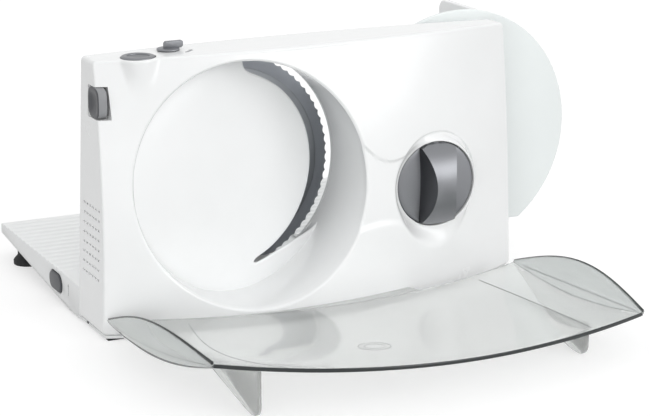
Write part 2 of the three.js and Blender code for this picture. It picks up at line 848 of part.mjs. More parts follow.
// Switches on the top left corner
function powerButton() {
  const top = topZ(0.8) + buttonRise;
  const low = housingHeight - 6;
  const dish = [
    [0, low],
    [buttonRadius, low],
    [buttonRadius, top - 1.5],
    [buttonRadius - 2, top],
    [buttonRadius - 5, top],
    [buttonRadius - 8, top - 1.2],
    [0, top - 1.8],
  ];
  const stem = prismZ(circle(buttonX, buttonY, 4), low - 8, low + 1, 8);
  return turned(dish, buttonX, buttonY, 32).add(stem);
}

function microSwitch() {
  const top = housingHeight - 14 - buttonTravel - runGap;
  const half = switchSize / 2;
  const low = top - switchSize;
  const body = box(buttonX - half, buttonX + half, buttonY - half / 2, buttonY + half / 2, low, top);
  const arm = box(buttonX - 3, buttonX + 3, buttonY, -wall - gap, low, low + 3);
  return body.add(arm);
}

function lockLever() {
  const low = topZ(0.62) + gap;
  const disc = [
    [0, low],
    [leverRadius, low],
    [leverRadius, low + 0.8],
    [leverRadius - 2, low + 1.6],
    [0, low + 1.9],
  ];
  const fin = box(leverX - 3.5, leverX + leverReach, leverY - 1.6, leverY + 1.6, low + 1, low + leverFin);
  const post = prismZ(circle(leverX, leverY, leverRadius / 2), housingHeight - 8, low + 1, 10);
  return turned(disc, leverX, leverY, 24).add(fin).add(post);
}

const interlockLeftX = -topHalfWidth - 1.5;

function interlockButton() {
  const right = interlockLeftX + interlockWidth;
  const body = prismX(circle(interlockY, interlockZ, interlockRadius), interlockLeftX, right, 14);
  const dishRadius = 1.8 * interlockRadius;
  const dishX = interlockLeftX + interlockDish - dishRadius;
  const dish = solid(
    new THREE.SphereGeometry(dishRadius, 32, 16).translate(dishX, interlockY, interlockZ),
  );
  return body.subtract(dish);
}

// Guide cage round the interlock button, behind its notch and held by the rear cover
function interlockCage() {
  const left = interlockLeftX + 3;
  const stop = interlockLeftX + interlockWidth + interlockTravel + runGap;
  const inside = interlockRadius + runGap;
  const outside = inside + 2;
  const back = interlockY + inside;
  const block = box(left, stop + 2, -beyond, -wall - gap, interlockZ - outside, interlockZ + outside);
  const pocket = box(left - 5, stop, -2 * beyond, back, interlockZ - inside, interlockZ + inside);
  return block.subtract(pocket).intersect(housingSpace(wall + gap, housingBottom, 0));
}

// One ridge of a deck, seen along X
function ridge(y, z) {
  const half = ridgePitch / 10;
  return [
    [y + 2.5 * half, z],
    [y + half, z + ridgeHeight],
    [y - half, z + ridgeHeight],
    [y - 2.5 * half, z],
  ];
}

// Table: hollow pan behind the housing, foot plate under it, ridged deck on top
function tableProfile(inset) {
  const low = plateLow - (inset > 0 ? 5 : 0);
  const points = [
    [gap + inset, low],
    [tableFlatEnd, low],
    [tableRear - inset, tableRearBottom - (inset > 0 ? 8 : 0)],
    [tableRear - inset, tableTop - inset],
  ];
  if (inset === 0) {
    for (let y = tableRear - ridgePitch; y > sledFront + ridgePitch; y -= ridgePitch) {
      points.push(...ridge(y, tableTop));
    }
  }
  points.push([gap + inset, tableTop - inset]);
  return polygon(points);
}

function footPlateShape() {
  const steps = 20;
  const points = [];
  const reach = tableHalfWidth - 1;
  for (let i = 0; i <= steps; i++) {
    const x = -reach + (2 * reach * i) / steps;
    points.push([x, -frontDepth(x, housingBottom) + 1]);
  }
  points.push([reach, 4], [-reach, 4]);
  return polygon(points);
}

function underTable(y) {
  return plateLow + ((y - tableFlatEnd) * (tableRearBottom - plateLow)) / (tableRear - tableFlatEnd);
}

const rearFeet = [
  [-rearFootX, rearFootY],
  [rearFootX, rearFootY],
];

function tableBase() {
  const pan = prismX(tableProfile(0), -tableHalfWidth, tableHalfWidth);
  const hollow = prismX(tableProfile(tableWall), -tableHalfWidth + tableWall, tableHalfWidth - tableWall);
  const footPlate = prismZ(footPlateShape(), plateLow, housingBottom - gap);
  const chord = Math.sqrt(bladeRadius ** 2 - (bladeZ - tableTop - 2) ** 2) + 4;
  const slotLow = bladeFaceY - bladeThickness - (bladeSlotWidth - bladeThickness) / 2;
  const slot = box(bladeX - chord, bladeX + chord, slotLow, slotLow + bladeSlotWidth, -5, tableTop + 5);
  const bosses = rearFeet.map(([x, y]) => prismZ(circle(x, y, footBossRadius), rearFootHeight + gap, tableTop - 1, 10));
  const release = prismX(
    capsule(releaseY, releaseZ, releaseLength + 2 * runGap, releaseHeight + 2 * runGap),
    -tableHalfWidth - 1,
    -tableHalfWidth + tableWall + 1,
    8,
  );
  const cordSlot = box(-tableHalfWidth - 1, -tableHalfWidth + 6, -16, -12, plateLow - 1, housingBottom);
  return pan
    .subtract(hollow)
    .add(footPlate)
    .add(join(bosses))
    .subtract(slot)
    .subtract(release)
    .subtract(cordSlot);
}

function releaseButton() {
  const left = -tableHalfWidth - 1.2;
  const knob = prismX(capsule(releaseY, releaseZ, releaseLength, releaseHeight), left, left + 8, 8);
  const flange = prismX(
    capsule(releaseY, releaseZ, releaseLength + 2, releaseHeight + 2),
    -tableHalfWidth + tableWall + gap,
    left + 8,
    8,
  );
  return knob.add(flange);
}

function rearFoot([x, y]) {
  const profile = [
    [0, 0],
    [footRadius, 0],
    [footRadius, 3.5],
    [footRadius - 3.5, 7.5],
    [footRadius - 3.5, rearFootHeight],
    [0, rearFootHeight],
  ];
  return turned(profile, x, y, 20);
}

function frontFoot(x) {
  const half = padSize / 2;
  const y = -frontDepth(x, housingBottom) + half + 3;
  return box(x - half, x + half, y - half, y + half, 0, plateLow - gap);
}

// Sled: ridged deck with a lip behind the table, and an upright push wall with a tall finger guard
const deckLow = tableTop + ridgeHeight + runGap;
const deckTop = deckLow + sledThickness;
const sledRight = tableHalfWidth - sledInset;
const sledLeft = sledRight - sledLength;
const sledRear = tableRear + runGap + sledLip;

function sledDeck() {
  const profile = [
    [sledFront, deckLow],
    [tableRear + runGap, deckLow],
    [tableRear + runGap, tableRearBottom - 4],
    [sledRear, tableRearBottom - 4],
    [sledRear, deckTop],
  ];
  for (let y = tableRear - ridgePitch; y > sledFront + ridgePitch; y -= ridgePitch) {
    profile.push(...ridge(y, deckTop));
  }
  profile.push([sledFront, deckTop]);
  return prismX(polygon(profile), sledLeft, sledRight);
}

function sledWall() {
  const low = deckTop + ridgeHeight + gap;
  const right = sledRight - 1;
  const top = low + sledWallHeight;
  const shape = new THREE.Shape();
  shape.moveTo(sledFront, low);
  shape.lineTo(sledRear - 2, low);
  shape.lineTo(sledRear - 2, top - 10);
  shape.quadraticCurveTo(sledRear - 2, top, sledRear - 12, top);
  shape.lineTo(sledFront + guardWidth + guardBlend, top);
  shape.quadraticCurveTo(sledFront + guardWidth, top, sledFront + guardWidth, top + guardBlend);
  shape.lineTo(sledFront + guardWidth, guardHeight - 8);
  shape.quadraticCurveTo(sledFront + guardWidth, guardHeight, sledFront + guardWidth - 8, guardHeight);
  shape.lineTo(sledFront, guardHeight);
  return prismX(shape, right - sledWallThickness, right, 6);
}

// Slice tray: a shallow curved sheet with raised wings at both ends, two fins and a rear lip
function lens(t) {
  return 0.06 + 0.94 * Math.sin(Math.PI * t);
}

// s runs from -1 to 1 between the folds, t from the back edge to the front edge
function trayPoint(s, t) {
  const back = trayBackY + trayBackRise * s * s;
  const front = trayFrontY + trayFrontRise * s * s;
  const x = trayX + s * (trayHalfBack - trayTaper * t);
  const z = trayBackZ + (trayFrontZ - trayBackZ) * t - traySag * Math.sin(Math.PI * t);
  const nearEnd = Math.max(0, Math.abs(s) - 0.6) / 0.4;
  const endRise = (trayCornerRise * t ** 3 - trayEndSag * Math.sin(Math.PI * t)) * nearEnd;
  const roll = trayRoll * (t * Math.max(0, trayRollEnd - s)) ** 2;
  return [x, back + (front - back) * t, z + endRise + roll];
}

const trayColumns = 22;
const trayRows = 10;

// The first and last columns are the wings
function traySurface(drop, spread) {
  return (u, v) => {
    const column = Math.round(u * trayColumns);
    const side = column === 0 ? -1 : column === trayColumns ? 1 : 0;
    const inner = THREE.MathUtils.clamp(column, 1, trayColumns - 1);
    const s = (2 * (inner - 1)) / (trayColumns - 2) - 1;
    const [x, y, z] = trayPoint(s, v);
    const atFold = Math.abs(s) > 0.999 ? Math.sign(s) : 0;
    const rise = side === 0 ? 0 : lens(v);
    return [
      x + side * wingFlare * rise + atFold * spread * (side === 0 ? 0.5 : 1),
      y,
      z + wingRise * rise - drop * (side === 0 ? 1 : 0.4),
    ];
  };
}

function trayFin(x, frontY) {
  const shape = new THREE.Shape();
  shape.moveTo(frontY, trayFrontZ + finHeadroom);
  shape.lineTo(frontY, finTip);
  shape.quadraticCurveTo(frontY, 0, frontY + finTip, 0);
  shape.quadraticCurveTo(frontY + 2 * finTip, 0, frontY + 3 * finTip, 2);
  shape.lineTo(frontY + finLength, finBackZ);
  shape.lineTo(frontY + finLength, trayFrontZ + finHeadroom);
  return prismX(shape, x - finThickness / 2, x + finThickness / 2, 4);
}

function trayLip() {
  const lipZ = 12;
  const at = (u) => lipLeft + (lipRight - lipLeft) * u;
  const edge = (x) => trayBackY + trayBackRise * ((x - trayX) / trayHalfBack) ** 2 - 2;
  const line = (u, v, z0, z1) => {
    const x = at(u);
    const rear = -frontDepth(x, lipZ) - gap;
    return [x, rear + (edge(x) - rear) * v, z0 + (z1 - z0) * v];
  };
  const low = (u, v) => line(u, v, lipZ, trayBackZ - 2);
  const high = (u, v) => line(u, v, lipZ + 2, trayBackZ - 0.4);
  return between(low, high, 12, 2);
}

function sliceTray() {
  const sheet = between(traySurface(traySheet, 2.4), traySurface(0, 0), trayColumns, trayRows);
  const above = between(traySurface(traySheet / 2, 0), traySurface(-beyond, 0), trayColumns, trayRows);
  const fins = trayFin(finLeftX, finLeftFrontY).add(trayFin(finRightX, finRightFrontY)).subtract(above);
  return sheet.add(fins).add(trayLip());
}

// Finishes
function finish(color, roughness, metalness) {
  return new THREE.MeshStandardMaterial({ color, roughness, metalness });
}

const whitePlastic = finish(0xf4f6f6, 0.35, 0);
const tablePlastic = finish(0xf1f2f1, 0.45, 0);
const greyPlastic = finish(0x8d8f92, 0.4, 0);
const darkPlastic = finish(0x4a4d52, 0.45, 0);
const paleGlass = finish(0xe6eeed, 0.3, 0);
const smokePlastic = finish(0xc3c8c6, 0.12, 0);
smokePlastic.transparent = true;
smokePlastic.opacity = 0.5;
const bladeSteel = finish(0x9ba2ad, 0.3, 1);
const plainSteel = finish(0xb4b7ba, 0.35, 1);
const gearPlastic = finish(0xe9e6d8, 0.5, 0);
const blackRubber = finish(0x202224, 0.85, 0);

const assembly = new THREE.Group();

function place(name, body, material) {
  const mesh = new THREE.Mesh(geometryOf(body), material);
  mesh.name = name;
  assembly.add(mesh);
}

place("front_shell", frontShell().add(screwPosts()), whitePlastic);
place("rear_cover", rearCover(), whitePlastic);
place("table_base", tableBase(), tablePlastic);
place("motor_case", motorCase(), plainSteel);
place("motor_bracket", motorBracket(), plainSteel);
place("blade_bearing", bladeBearing(), gearPlastic);
place("guide_bush_upper", guideBush(rodHighZ), gearPlastic);
place("guide_bush_lower", guideBush(rodLowZ), gearPlastic);
place("micro_switch", microSwitch(), darkPlastic);
place("interlock_cage", interlockCage(), whitePlastic);
screwPlaces.forEach((spot, i) => place(`rear_screw_${i + 1}`, rearScrew(spot), plainSteel));
place("front_foot_left", frontFoot(-topHalfWidth + 2), blackRubber);
place("front_foot_right", frontFoot(topHalfWidth - 2), blackRubber);
place("rear_foot_left", rearFoot(rearFeet[0]), blackRubber);
place("rear_foot_right", rearFoot(rearFeet[1]), blackRubber);
place("blade", blade(), bladeSteel);
place("blade_gear", bladeGear(), gearPlastic);
place("blade_screw", bladeScrew(), plainSteel);
place("idler_pinion", idlerPinion(), gearPlastic);
place("worm_wheel", wormWheel(), gearPlastic);
place("idler_shaft", idlerShaft(), plainSteel);
place("motor_shaft", motorShaft(), plainSteel);
place("armature", armature(), plainSteel);
place("cooling_fan", coolingFan(), darkPlastic);
place("stop_plate", stopPlate(), paleGlass);
place("guide_rod_upper", guideRod(rodHighZ), plainSteel);
place("guide_rod_lower", guideRod(rodLowZ), plainSteel);
place("thickness_knob", thicknessKnob(), greyPlastic);
place("thickness_spindle", thicknessSpindle(), plainSteel);
place("power_button", powerButton(), greyPlastic);
place("lock_lever", lockLever(), greyPlastic);
place("interlock_button", interlockButton(), darkPlastic);
place("release_button", releaseButton(), darkPlastic);
place("sled_deck", sledDeck(), tablePlastic);
place("sled_wall", sledWall(), whitePlastic);
place("slice_tray", sliceTray(), smokePlastic);

// The origin is the middle of the footprint, on the floor
const extent = new THREE.Box3().setFromObject(assembly);
const middle = extent.getCenter(new THREE.Vector3());
assembly.position.set(-middle.x, -middle.y, -extent.min.z);

export default assembly;
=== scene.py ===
"""Electric food slicer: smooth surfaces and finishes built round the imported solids.

Shapes are written in millimetres: X runs right from the housing's middle, Y back from its rear plane, Z up.
"""

import math

import bmesh
import bpy
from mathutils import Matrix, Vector


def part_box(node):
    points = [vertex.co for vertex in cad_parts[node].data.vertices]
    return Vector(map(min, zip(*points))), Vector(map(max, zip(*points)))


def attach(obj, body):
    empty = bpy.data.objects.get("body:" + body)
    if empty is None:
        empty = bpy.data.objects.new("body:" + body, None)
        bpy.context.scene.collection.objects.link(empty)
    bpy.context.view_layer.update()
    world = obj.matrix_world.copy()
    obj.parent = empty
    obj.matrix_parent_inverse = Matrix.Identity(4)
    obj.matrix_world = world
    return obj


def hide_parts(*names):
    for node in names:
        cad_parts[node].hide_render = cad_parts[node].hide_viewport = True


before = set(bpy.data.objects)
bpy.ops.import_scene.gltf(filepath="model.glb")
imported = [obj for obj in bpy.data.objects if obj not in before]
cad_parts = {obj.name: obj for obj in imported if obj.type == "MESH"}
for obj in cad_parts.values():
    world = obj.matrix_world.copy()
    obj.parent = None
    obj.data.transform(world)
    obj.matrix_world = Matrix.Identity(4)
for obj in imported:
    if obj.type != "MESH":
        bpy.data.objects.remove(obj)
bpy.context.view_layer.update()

MM = 0.001
JOIN_REACH = 0.004 * MM
SLIVER = 0.002 * MM
TABLE_REAR = 191
base_low, base_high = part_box("table_base")
SHIFT_X = (base_low.x + base_high.x) / 2
SHIFT_Y = base_high.y - TABLE_REAR * MM

# Housing
HEIGHT = 199.5
BOTTOM = 4
HALF_TOP = 170.4
DRAFT = 0.039
CROWN = 2.4
WALL = 2.5
BULGE_X = -28
DEPTH = 48.5
DROP_LEFT = 25
DROP_RIGHT = 31.5
LEAN = 33
LEAN_DROP_LEFT = 2
LEAN_DROP_RIGHT = 24
LEAN_POWER = 2.2
EDGE = 2
CORNER = 1.2
REAR_GAP = 0.3
REAR_LOW_GAP = 3.2
SPLIT_X = 34

# Vents in the left side
VENT_ROWS = 8
VENT_HOLES = 6
VENT_Y = -42
VENT_Z = 42
VENT_PITCH_Y = 6
VENT_PITCH_Z = 7.3
VENT_LONG = 4
VENT_TALL = 1.6
VENT_DEEP = 5

# Slice outlet
RECESS_X = -63
RECESS_Z = 105.5
RECESS_R = 89
RECESS_EDGE = 2
FLOOR_STEP = 1.5
FLOOR_DEEP = 9
FLOOR_X = -67.6
FLOOR_Z = 109.4
FLOOR_R = 72.8
FLOOR_THICK = 2.2
FLOOR_EDGE = 1.6
FLOOR_OVERLAP = 0.3
PASSAGE_X = -52
PASSAGE_END = -2.8
BORE_SHIFT_X = 5.9
BORE_SHIFT_Z = 2.1
BORE_SHRINK = 2.4
PASSAGE_LOW_Z = 41.2
PASSAGE_SLOPE = 0.463
PASSAGE_FALL = 0.534
PASSAGE_OVERLAP = 0.8
CORNER_PASSES = 12
CORNER_REACH = 4

# Neck panel between the outlet and the knob
NECK_STEP = 1.4
NECK_HIGH = ((22, 130.5), (40, 105.5), (62, 114.1))
NECK_LOW = ((-3, 58.5), (38, 74.6), (62, 61.1))
NECK_HIGH_SOFT = 0.9
NECK_LOW_SOFT = 2.4
NECK_LEFT = -10
PANEL_R = 40
PANEL_FADE = (0.2, 0.8)

# Thickness knob and its dish
KNOB_X = 92
KNOB_Z = 87.6
KNOB_R = 32.5
KNOB_FACE = 54
KNOB_DISC = 9
KNOB_DOME = 1.6
KNOB_ARCH = 19
GRIP_BASE = 14.3
GRIP_END = 16
GRIP_WAIST = 8
GRIP_ROUND = 0.5
GRIP_SUNK = 0.6
KNOB_BORE = 4.8
KNOB_BORE_DEEP = 2
POCKET_R = 33
POCKET_DEPTH = 44.5
POCKET_ROUND = 0.6
POCKET_STRAIGHT = 4
RING_DEPTH = 55
DISH_R = 33.5
DISH_REACH = 5
DISH_LEFT = 3.5
DISH_LOW = 11
SPINDLE_R = 6.5

# Stop plate and blade
PLATE_X = 151.2
PLATE_Z = 108.1
PLATE_R = 97.45
PLATE_LOW = 29.5
PLATE_THICK = 3.4
PLATE_GAP = 3.5
PLATE_TOP_TURN = 125
BLADE_TOP_TURN = 40
PLATE_TUBE_R = 9
PLATE_TUBE_BORE = 6.3
PLATE_TUBE_FRONT = -10.5
PLATE_TUBE_BACK = 17.5
BLADE_X = -50.5
BLADE_Z = 102
BLADE_R = 85.5
BLADE_FACE = 20
BLADE_BACK = 18.2
BLADE_RIM = 19.1
BLADE_BEVEL = 10
BLADE_BORE = 3.3
BLADE_TEETH = 76
TOOTH = 1.3

# Switches
BUTTON_X = -136.5
BUTTON_Y = -26
BUTTON_R = 12.5
BUTTON_SHARE = 0.8
BUTTON_RISE = 1.2
BUTTON_SKIRT = 6
BUTTON_HOLE = 11
BUTTON_STEM_R = 4
BUTTON_RIM = 3.4
BUTTON_EDGE_WIDE = 2.2
BUTTON_EDGE_TALL = 1.4
STEM_LONG = 8
SWITCH_GAP = 0.5
COLUMN_R = 14.8
COLUMN_SOFT = 3.5
LEVER_X = -109
LEVER_Y = -15
LEVER_R = 8.5
LEVER_SHARE = 0.62
LEVER_GAP = 0.3
LEVER_STEM_R = 4.2
LEVER_REACH = 11.2
LEVER_TAIL = 3.5
LEVER_TALL = 6.5
LEVER_HALF = 1.6
LEVER_SOFT = 1.5
LOCK_Y = -27
LOCK_Z = 170.5
LOCK_R = 11
LOCK_SQUARE = 3.5
LOCK_LEFT = -171.9
LOCK_WIDE = 7.2
NOTCH_X = -162.2
PRINT_SUNK = 0.1
PRINT_PROUD = 0.12

# Table, release button and sled
TABLE_HALF = 177.5
TABLE_TOP = 27
TABLE_LOW = 1.5
TABLE_BEND = 24
TABLE_BACK_LOW = 19
TABLE_WALL = 2.6
HOLLOW_LOW = 11
FOOT_PLATE_REAR = 4
FOOT_PLATE_GAP = 0.3
BLADE_SLOT = (14.6, 23.6)
BLADE_SLOT_GAP = 4
RIDGE = 0.8
RIDGE_HALF = 2.5
RIDGE_PITCH = 10
RELEASE_Y = 53
RELEASE_Z = 16
RELEASE_LONG = 27
RELEASE_TALL = 14
RELEASE_DEEP = 8
RELEASE_PROUD = 1.2
RELEASE_SEAT = 2.9
RELEASE_FLANGE = 2
CORD_Y = -13.8
CORD_HALF = 2.4
CORD_DEEP = 1.8
SLED_RIGHT = 172
SLED_FRONT = 23.5
SLED_WIDE = 152
SLED_GAP = 0.5
SLED_DECK = 3
SLED_LIP = 3.5
SLED_LIP_LOW = 15
SLED_WALL_GAP = 0.3
SLED_WALL_HIGH = 78
SLED_WALL_THICK = 6
SLED_WALL_ROUND = 10
GUARD_TOP = 204
GUARD_WIDE = 54
GUARD_ROUND = 8
GUARD_BLEND = 20

# Tray
TRAY_X = -8
TRAY_HALF = 167
TRAY_TAPER = 4
TRAY_BACK = -98
TRAY_BACK_RISE = 38
TRAY_FRONT = -274
TRAY_FRONT_RISE = 31
TRAY_BACK_Z = 18
TRAY_FRONT_Z = 30
TRAY_SHEET = 2.5
TRAY_SAG = 4
TRAY_END_SAG = 3
TRAY_END_START = 0.6
TRAY_CORNER_RISE = 0.5
WING_RISE = 25.5
WING_FLARE = 4.95
WING_ENDS = 0.06
WING_BOW = 1.6
WING_STEPS = 6
WING_THIN = 0.6
WING_SPREAD = 1.2
CREASE_OUT = 0.3
TRAY_ROLL = 7.1
TRAY_ROLL_END = 0.3
TRAY_EDGE = 1.3
RAMP_S = 0.7
RAMP_BOW = 0.07
FIN_LEFT = -140
FIN_LEFT_FRONT = -243
FIN_RIGHT = 117.5
FIN_RIGHT_FRONT = -231.5
FIN_LONG = 90
FIN_BACK_Z = 13
FIN_TIP = 9
FIN_HALF = 1.5
FIN_GAP = 0.1
LIP_Z = 12
LIP_LEFT = -140
LIP_RIGHT = 60
LIP_THICK = 2
LIP_GAP = 0.3
MARK_S = -0.17
MARK_T = 0.6
MARK_RADII = (7, 11)
# Half width and half height of the tray's painted shade lines
FRONT_LINE = (0.95, 1.4)
FOLD_LINE = (0.7, 0.8)
CREASE_LINE = (0.3, 0.3)
RAMP_LINE = (0.4, 0.25)

# Lamps, in metres, and camera
LAMP_AIM = (0, 0, 0.1)
LENS = 116.31
SENSOR = 36
CAMERA_PLACE = (-658.5, -1412, 493.4)
CAMERA_AIM = (24.417, 0, 62.791)


def at(x, y, z):
    return (x * MM + SHIFT_X, y * MM + SHIFT_Y, z * MM)


def clamp(value, low=0.0, high=1.0):
    return max(low, min(high, value))


def smooth_step(low, high, value):
    t = clamp((value - low) / (high - low))
    return t * t * (3 - 2 * t)


def soft_max(a, b, width):
    t = clamp(0.5 + 0.5 * (a - b) / width)
    return b + (a - b) * t + width * t * (1 - t)


def spread(start, end, step):
    count = max(1, math.ceil(abs(end - start) / step))
    return [start + (end - start) * i / count for i in range(count)]


def along(axis, a, b, height):
    """A point from its height along an axis and its places on the two other axes, in their order."""
    return {"X": (height, a, b), "Y": (a, height, b), "Z": (a, b, height)}[axis]


def arc(start, end, count):
    return [math.radians(start + (end - start) * i / count) for i in range(count + 1)]


def bend(a, b, radius, start, end, count=8):
    """Points of a round corner from its middle, its radius and its two end directions in degrees."""
    return [(a + radius * math.cos(t), b + radius * math.sin(t)) for t in arc(start, end, count)]


# Meshes
def sheet_faces(columns, rows, close=True, first=0):
    """Quads of a grid stored column by column."""
    faces = []
    for i in range(columns if close else columns - 1):
        a = first + i * rows
        b = first + (i + 1) % columns * rows
        for j in range(rows - 1):
            faces.append((a + j, a + j + 1, b + j + 1, b + j))
    return faces


def join_columns(grids):
    """Points and faces of several grids, each given as its columns and whether it closes on itself."""
    points = []
    faces = []
    for columns, close in grids:
        faces += sheet_faces(len(columns), len(columns[0]), close, len(points))
        points += [point for column in columns for point in column]
    return points, faces


def capped_columns(columns):
    """A row of columns that each end where they start, with a flat face at both ends of the row."""
    points, faces = join_columns([(columns, False)])
    rows = len(columns[0])
    last = (len(columns) - 1) * rows
    faces += [tuple(range(rows - 1)), tuple(range(last, last + rows - 1))]
    return points, faces


def clean_mesh(name, points, faces, drop_slivers=True):
    """A mesh with its doubled points joined and its faces turned outwards."""
    mesh = bpy.data.meshes.new(name)
    mesh.from_pydata([at(*p) for p in points], [], faces)
    bm = bmesh.new()
    bm.from_mesh(mesh)
    bmesh.ops.remove_doubles(bm, verts=bm.verts, dist=JOIN_REACH)
    if drop_slivers:
        bmesh.ops.dissolve_degenerate(bm, edges=bm.edges, dist=SLIVER)
    bmesh.ops.recalc_face_normals(bm, faces=bm.faces)
    bm.to_mesh(mesh)
    bm.free()
    return mesh


def add_object(name, data):
    made = bpy.data.objects.new(name, data)
    bpy.context.scene.collection.objects.link(made)
    return made


def piece(name, points, faces, body, material, nodes=(), slot=None, angle=40):
    mesh = clean_mesh(name, points, faces)
    made = add_object(name, mesh)
    mesh.materials.append(material)
    soften(made, angle)
    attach(made, body)
    if nodes:
        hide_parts(*nodes)
    return made


def ring_piece(name, columns, *finish):
    """A piece of columns of which the last joins the first."""
    return piece(name, *join_columns([(columns, True)]), *finish)


def paint(made, material, rule):
    """Gives a second finish to the faces that a rule picks."""
    made.data.materials.append(material)
    for face in made.data.polygons:
        if rule(face):
            face.material_index = 1


def soften(made, angle):
    made.data.shade_smooth()
    made.data.set_sharp_from_angle(angle=math.radians(angle))


def apply_modifier(made, kind, **settings):
    """Adds one modifier and makes its result the mesh."""
    modifier = made.modifiers.new(kind.lower(), kind)
    for key, value in settings.items():
        setattr(modifier, key, value)
    bpy.context.view_layer.update()
    shape = bpy.data.meshes.new_from_object(made.evaluated_get(bpy.context.evaluated_depsgraph_get()))
    made.modifiers.clear()
    old = made.data
    made.data = shape
    shape.name = made.name
    bpy.data.meshes.remove(old)


def bevel(made, width, segments=3, limit=40):
    apply_modifier(
        made,
        "BEVEL",
        width=width * MM,
        segments=segments,
        limit_method="ANGLE",
        angle_limit=math.radians(limit),
    )
    soften(made, limit)


def prism_shape(outline, axis, low, high):
    """A straight body: outline points lie across the axis, in the order of the two other axes."""
    count = len(outline)
    points = [along(axis, a, b, end) for end in (low, high) for a, b in outline]
    faces = [tuple(range(count)), tuple(range(count, 2 * count))]
    faces += [(i, (i + 1) % count, count + (i + 1) % count, count + i) for i in range(count)]
    return points, faces


def prism(name, outline, axis, low, high, *finish):
    return piece(name, *prism_shape(outline, axis, low, high), *finish)


def turned(profile, centre, axis, segments):
    """Columns of a body of revolution: its (radius, height) points end on the axis or where they start."""
    columns = []
    for i in range(segments):
        turn = 2 * math.pi * i / segments
        column = []
        for radius, height in profile:
            a = centre[0] + radius * math.cos(turn)
            b = centre[1] + radius * math.sin(turn)
            column.append(along(axis, a, b, height))
        columns.append(column)
    return columns


def cut(made, points, faces):
    """Takes a closed shape out of a piece."""
    mesh = clean_mesh("cutter", points, faces, drop_slivers=False)
    tool = add_object("cutter", mesh)
    apply_modifier(made, "BOOLEAN", object=tool, operation="DIFFERENCE", solver="EXACT")
    bpy.data.objects.remove(tool)
    bpy.data.meshes.remove(mesh)


def box_shape(x0, x1, y0, y1, z0, z1):
    points = [(x, y, z) for x in (x0, x1) for y in (y0, y1) for z in (z0, z1)]
    faces = [(0, 1, 3, 2), (4, 6, 7, 5), (0, 4, 5, 1), (2, 3, 7, 6), (0, 2, 6, 4), (1, 5, 7, 3)]
    return points, faces


def merge_shapes(shapes):
    points = []
    faces = []
    for more_points, more_faces in shapes:
        faces += [tuple(i + len(points) for i in face) for face in more_faces]
        points += more_points
    return points, faces


# Materials
def ranged(nodes, links, source, low, high, source_low=0.0, source_high=1.0):
    """A socket's value carried from its own range to the range from low to high."""
    node = nodes.new("ShaderNodeMapRange")
    node.inputs["From Min"].default_value = source_low
    node.inputs["From Max"].default_value = source_high
    node.inputs["To Min"].default_value = low
    node.inputs["To Max"].default_value = high
    links.new(source, node.inputs["Value"])
    return node.outputs["Result"]


def material(name, colour, rough, mottle=0.015, grain=900, depth=0.00001, rough_spread=0.06, **sockets):
    """A moulded or metal finish: cloudy colour, uneven gloss and a fine grain in the surface."""
    made = bpy.data.materials.new(name)
    made.use_nodes = True
    nodes = made.node_tree.nodes
    links = made.node_tree.links
    shader = nodes["Principled BSDF"]
    place = nodes.new("ShaderNodeTexCoord")
    cloud = nodes.new("ShaderNodeTexNoise")
    cloud.inputs["Scale"].default_value = 18
    cloud.inputs["Detail"].default_value = 4
    links.new(place.outputs["Object"], cloud.inputs["Vector"])
    ramp = nodes.new("ShaderNodeValToRGB")
    ramp.color_ramp.elements[0].position = 0.3
    ramp.color_ramp.elements[1].position = 0.7
    ramp.color_ramp.elements[0].color = [c * (1 - mottle) for c in colour] + [1]
    ramp.color_ramp.elements[1].color = [min(1, c * (1 + mottle)) for c in colour] + [1]
    links.new(cloud.outputs["Fac"], ramp.inputs["Fac"])
    links.new(ramp.outputs["Color"], shader.inputs["Base Color"])
    grains = nodes.new("ShaderNodeTexNoise")
    grains.inputs["Scale"].default_value = grain
    grains.inputs["Detail"].default_value = 2
    links.new(place.outputs["Object"], grains.inputs["Vector"])
    half = rough_spread / 2
    gloss = ranged(nodes, links, cloud.outputs["Fac"], rough - half, rough + half)
    links.new(gloss, shader.inputs["Roughness"])
    bump = nodes.new("ShaderNodeBump")
    bump.inputs["Distance"].default_value = depth
    bump.inputs["Strength"].default_value = 0.5
    links.new(grains.outputs["Fac"], bump.inputs["Height"])
    links.new(bump.outputs["Normal"], shader.inputs["Normal"])
    for key, value in sockets.items():
        shader.inputs[key.replace("_", " ")].default_value = value
    return made


white_gloss = material("white_gloss", (0.86, 0.87, 0.872), 0.26, Coat_Weight=0.3, Coat_Roughness=0.1)
white_satin = material("white_satin", (0.84, 0.85, 0.85), 0.42, grain=500, depth=0.00002)
pale_plastic = material("pale_plastic", (0.83, 0.87, 0.865), 0.3, Coat_Weight=0.2)
grey_paint = material("grey_paint", (0.25, 0.256, 0.27), 0.4, mottle=0.03, grain=1400, Metallic=1.0)
# A darker copy of grey_paint, put on the knob's grip flanks: painted shade.
flank_painted_shade = material("flank_painted_shade", (0.1, 0.103, 0.112), 0.4, mottle=0.03, grain=1400, Metallic=1.0)
dark_plastic = material("dark_plastic", (0.05, 0.053, 0.06), 0.42, mottle=0.05, grain=700, depth=0.00003)
grey_plastic = material("grey_plastic", (0.27, 0.275, 0.285), 0.4, mottle=0.04, depth=0.00002)
gear_plastic = material("gear_plastic", (0.8, 0.77, 0.66), 0.5, mottle=0.04, grain=300, depth=0.00003)
blade_steel = material("blade_steel", (0.37, 0.385, 0.41), 0.28, mottle=0.06, grain=1500, Metallic=1.0)
blade_edge = material("blade_edge", (0.42, 0.44, 0.48), 0.42, mottle=0.05, grain=1500, Metallic=0.6)
plain_steel = material("plain_steel", (0.5, 0.51, 0.52), 0.36, mottle=0.06, grain=800, Metallic=1.0)
black_rubber = material("black_rubber", (0.018, 0.019, 0.02), 0.8, mottle=0.1, grain=400, depth=0.00005)


def smoked(name, colour, clear):
    """A clear moulding: clear is the share of light that passes through it."""
    return material(
        name,
        colour,
        0.08,
        mottle=0.02,
        grain=200,
        depth=0.000004,
        rough_spread=0.03,
        Transmission_Weight=clear,
        IOR=1.49,
    )


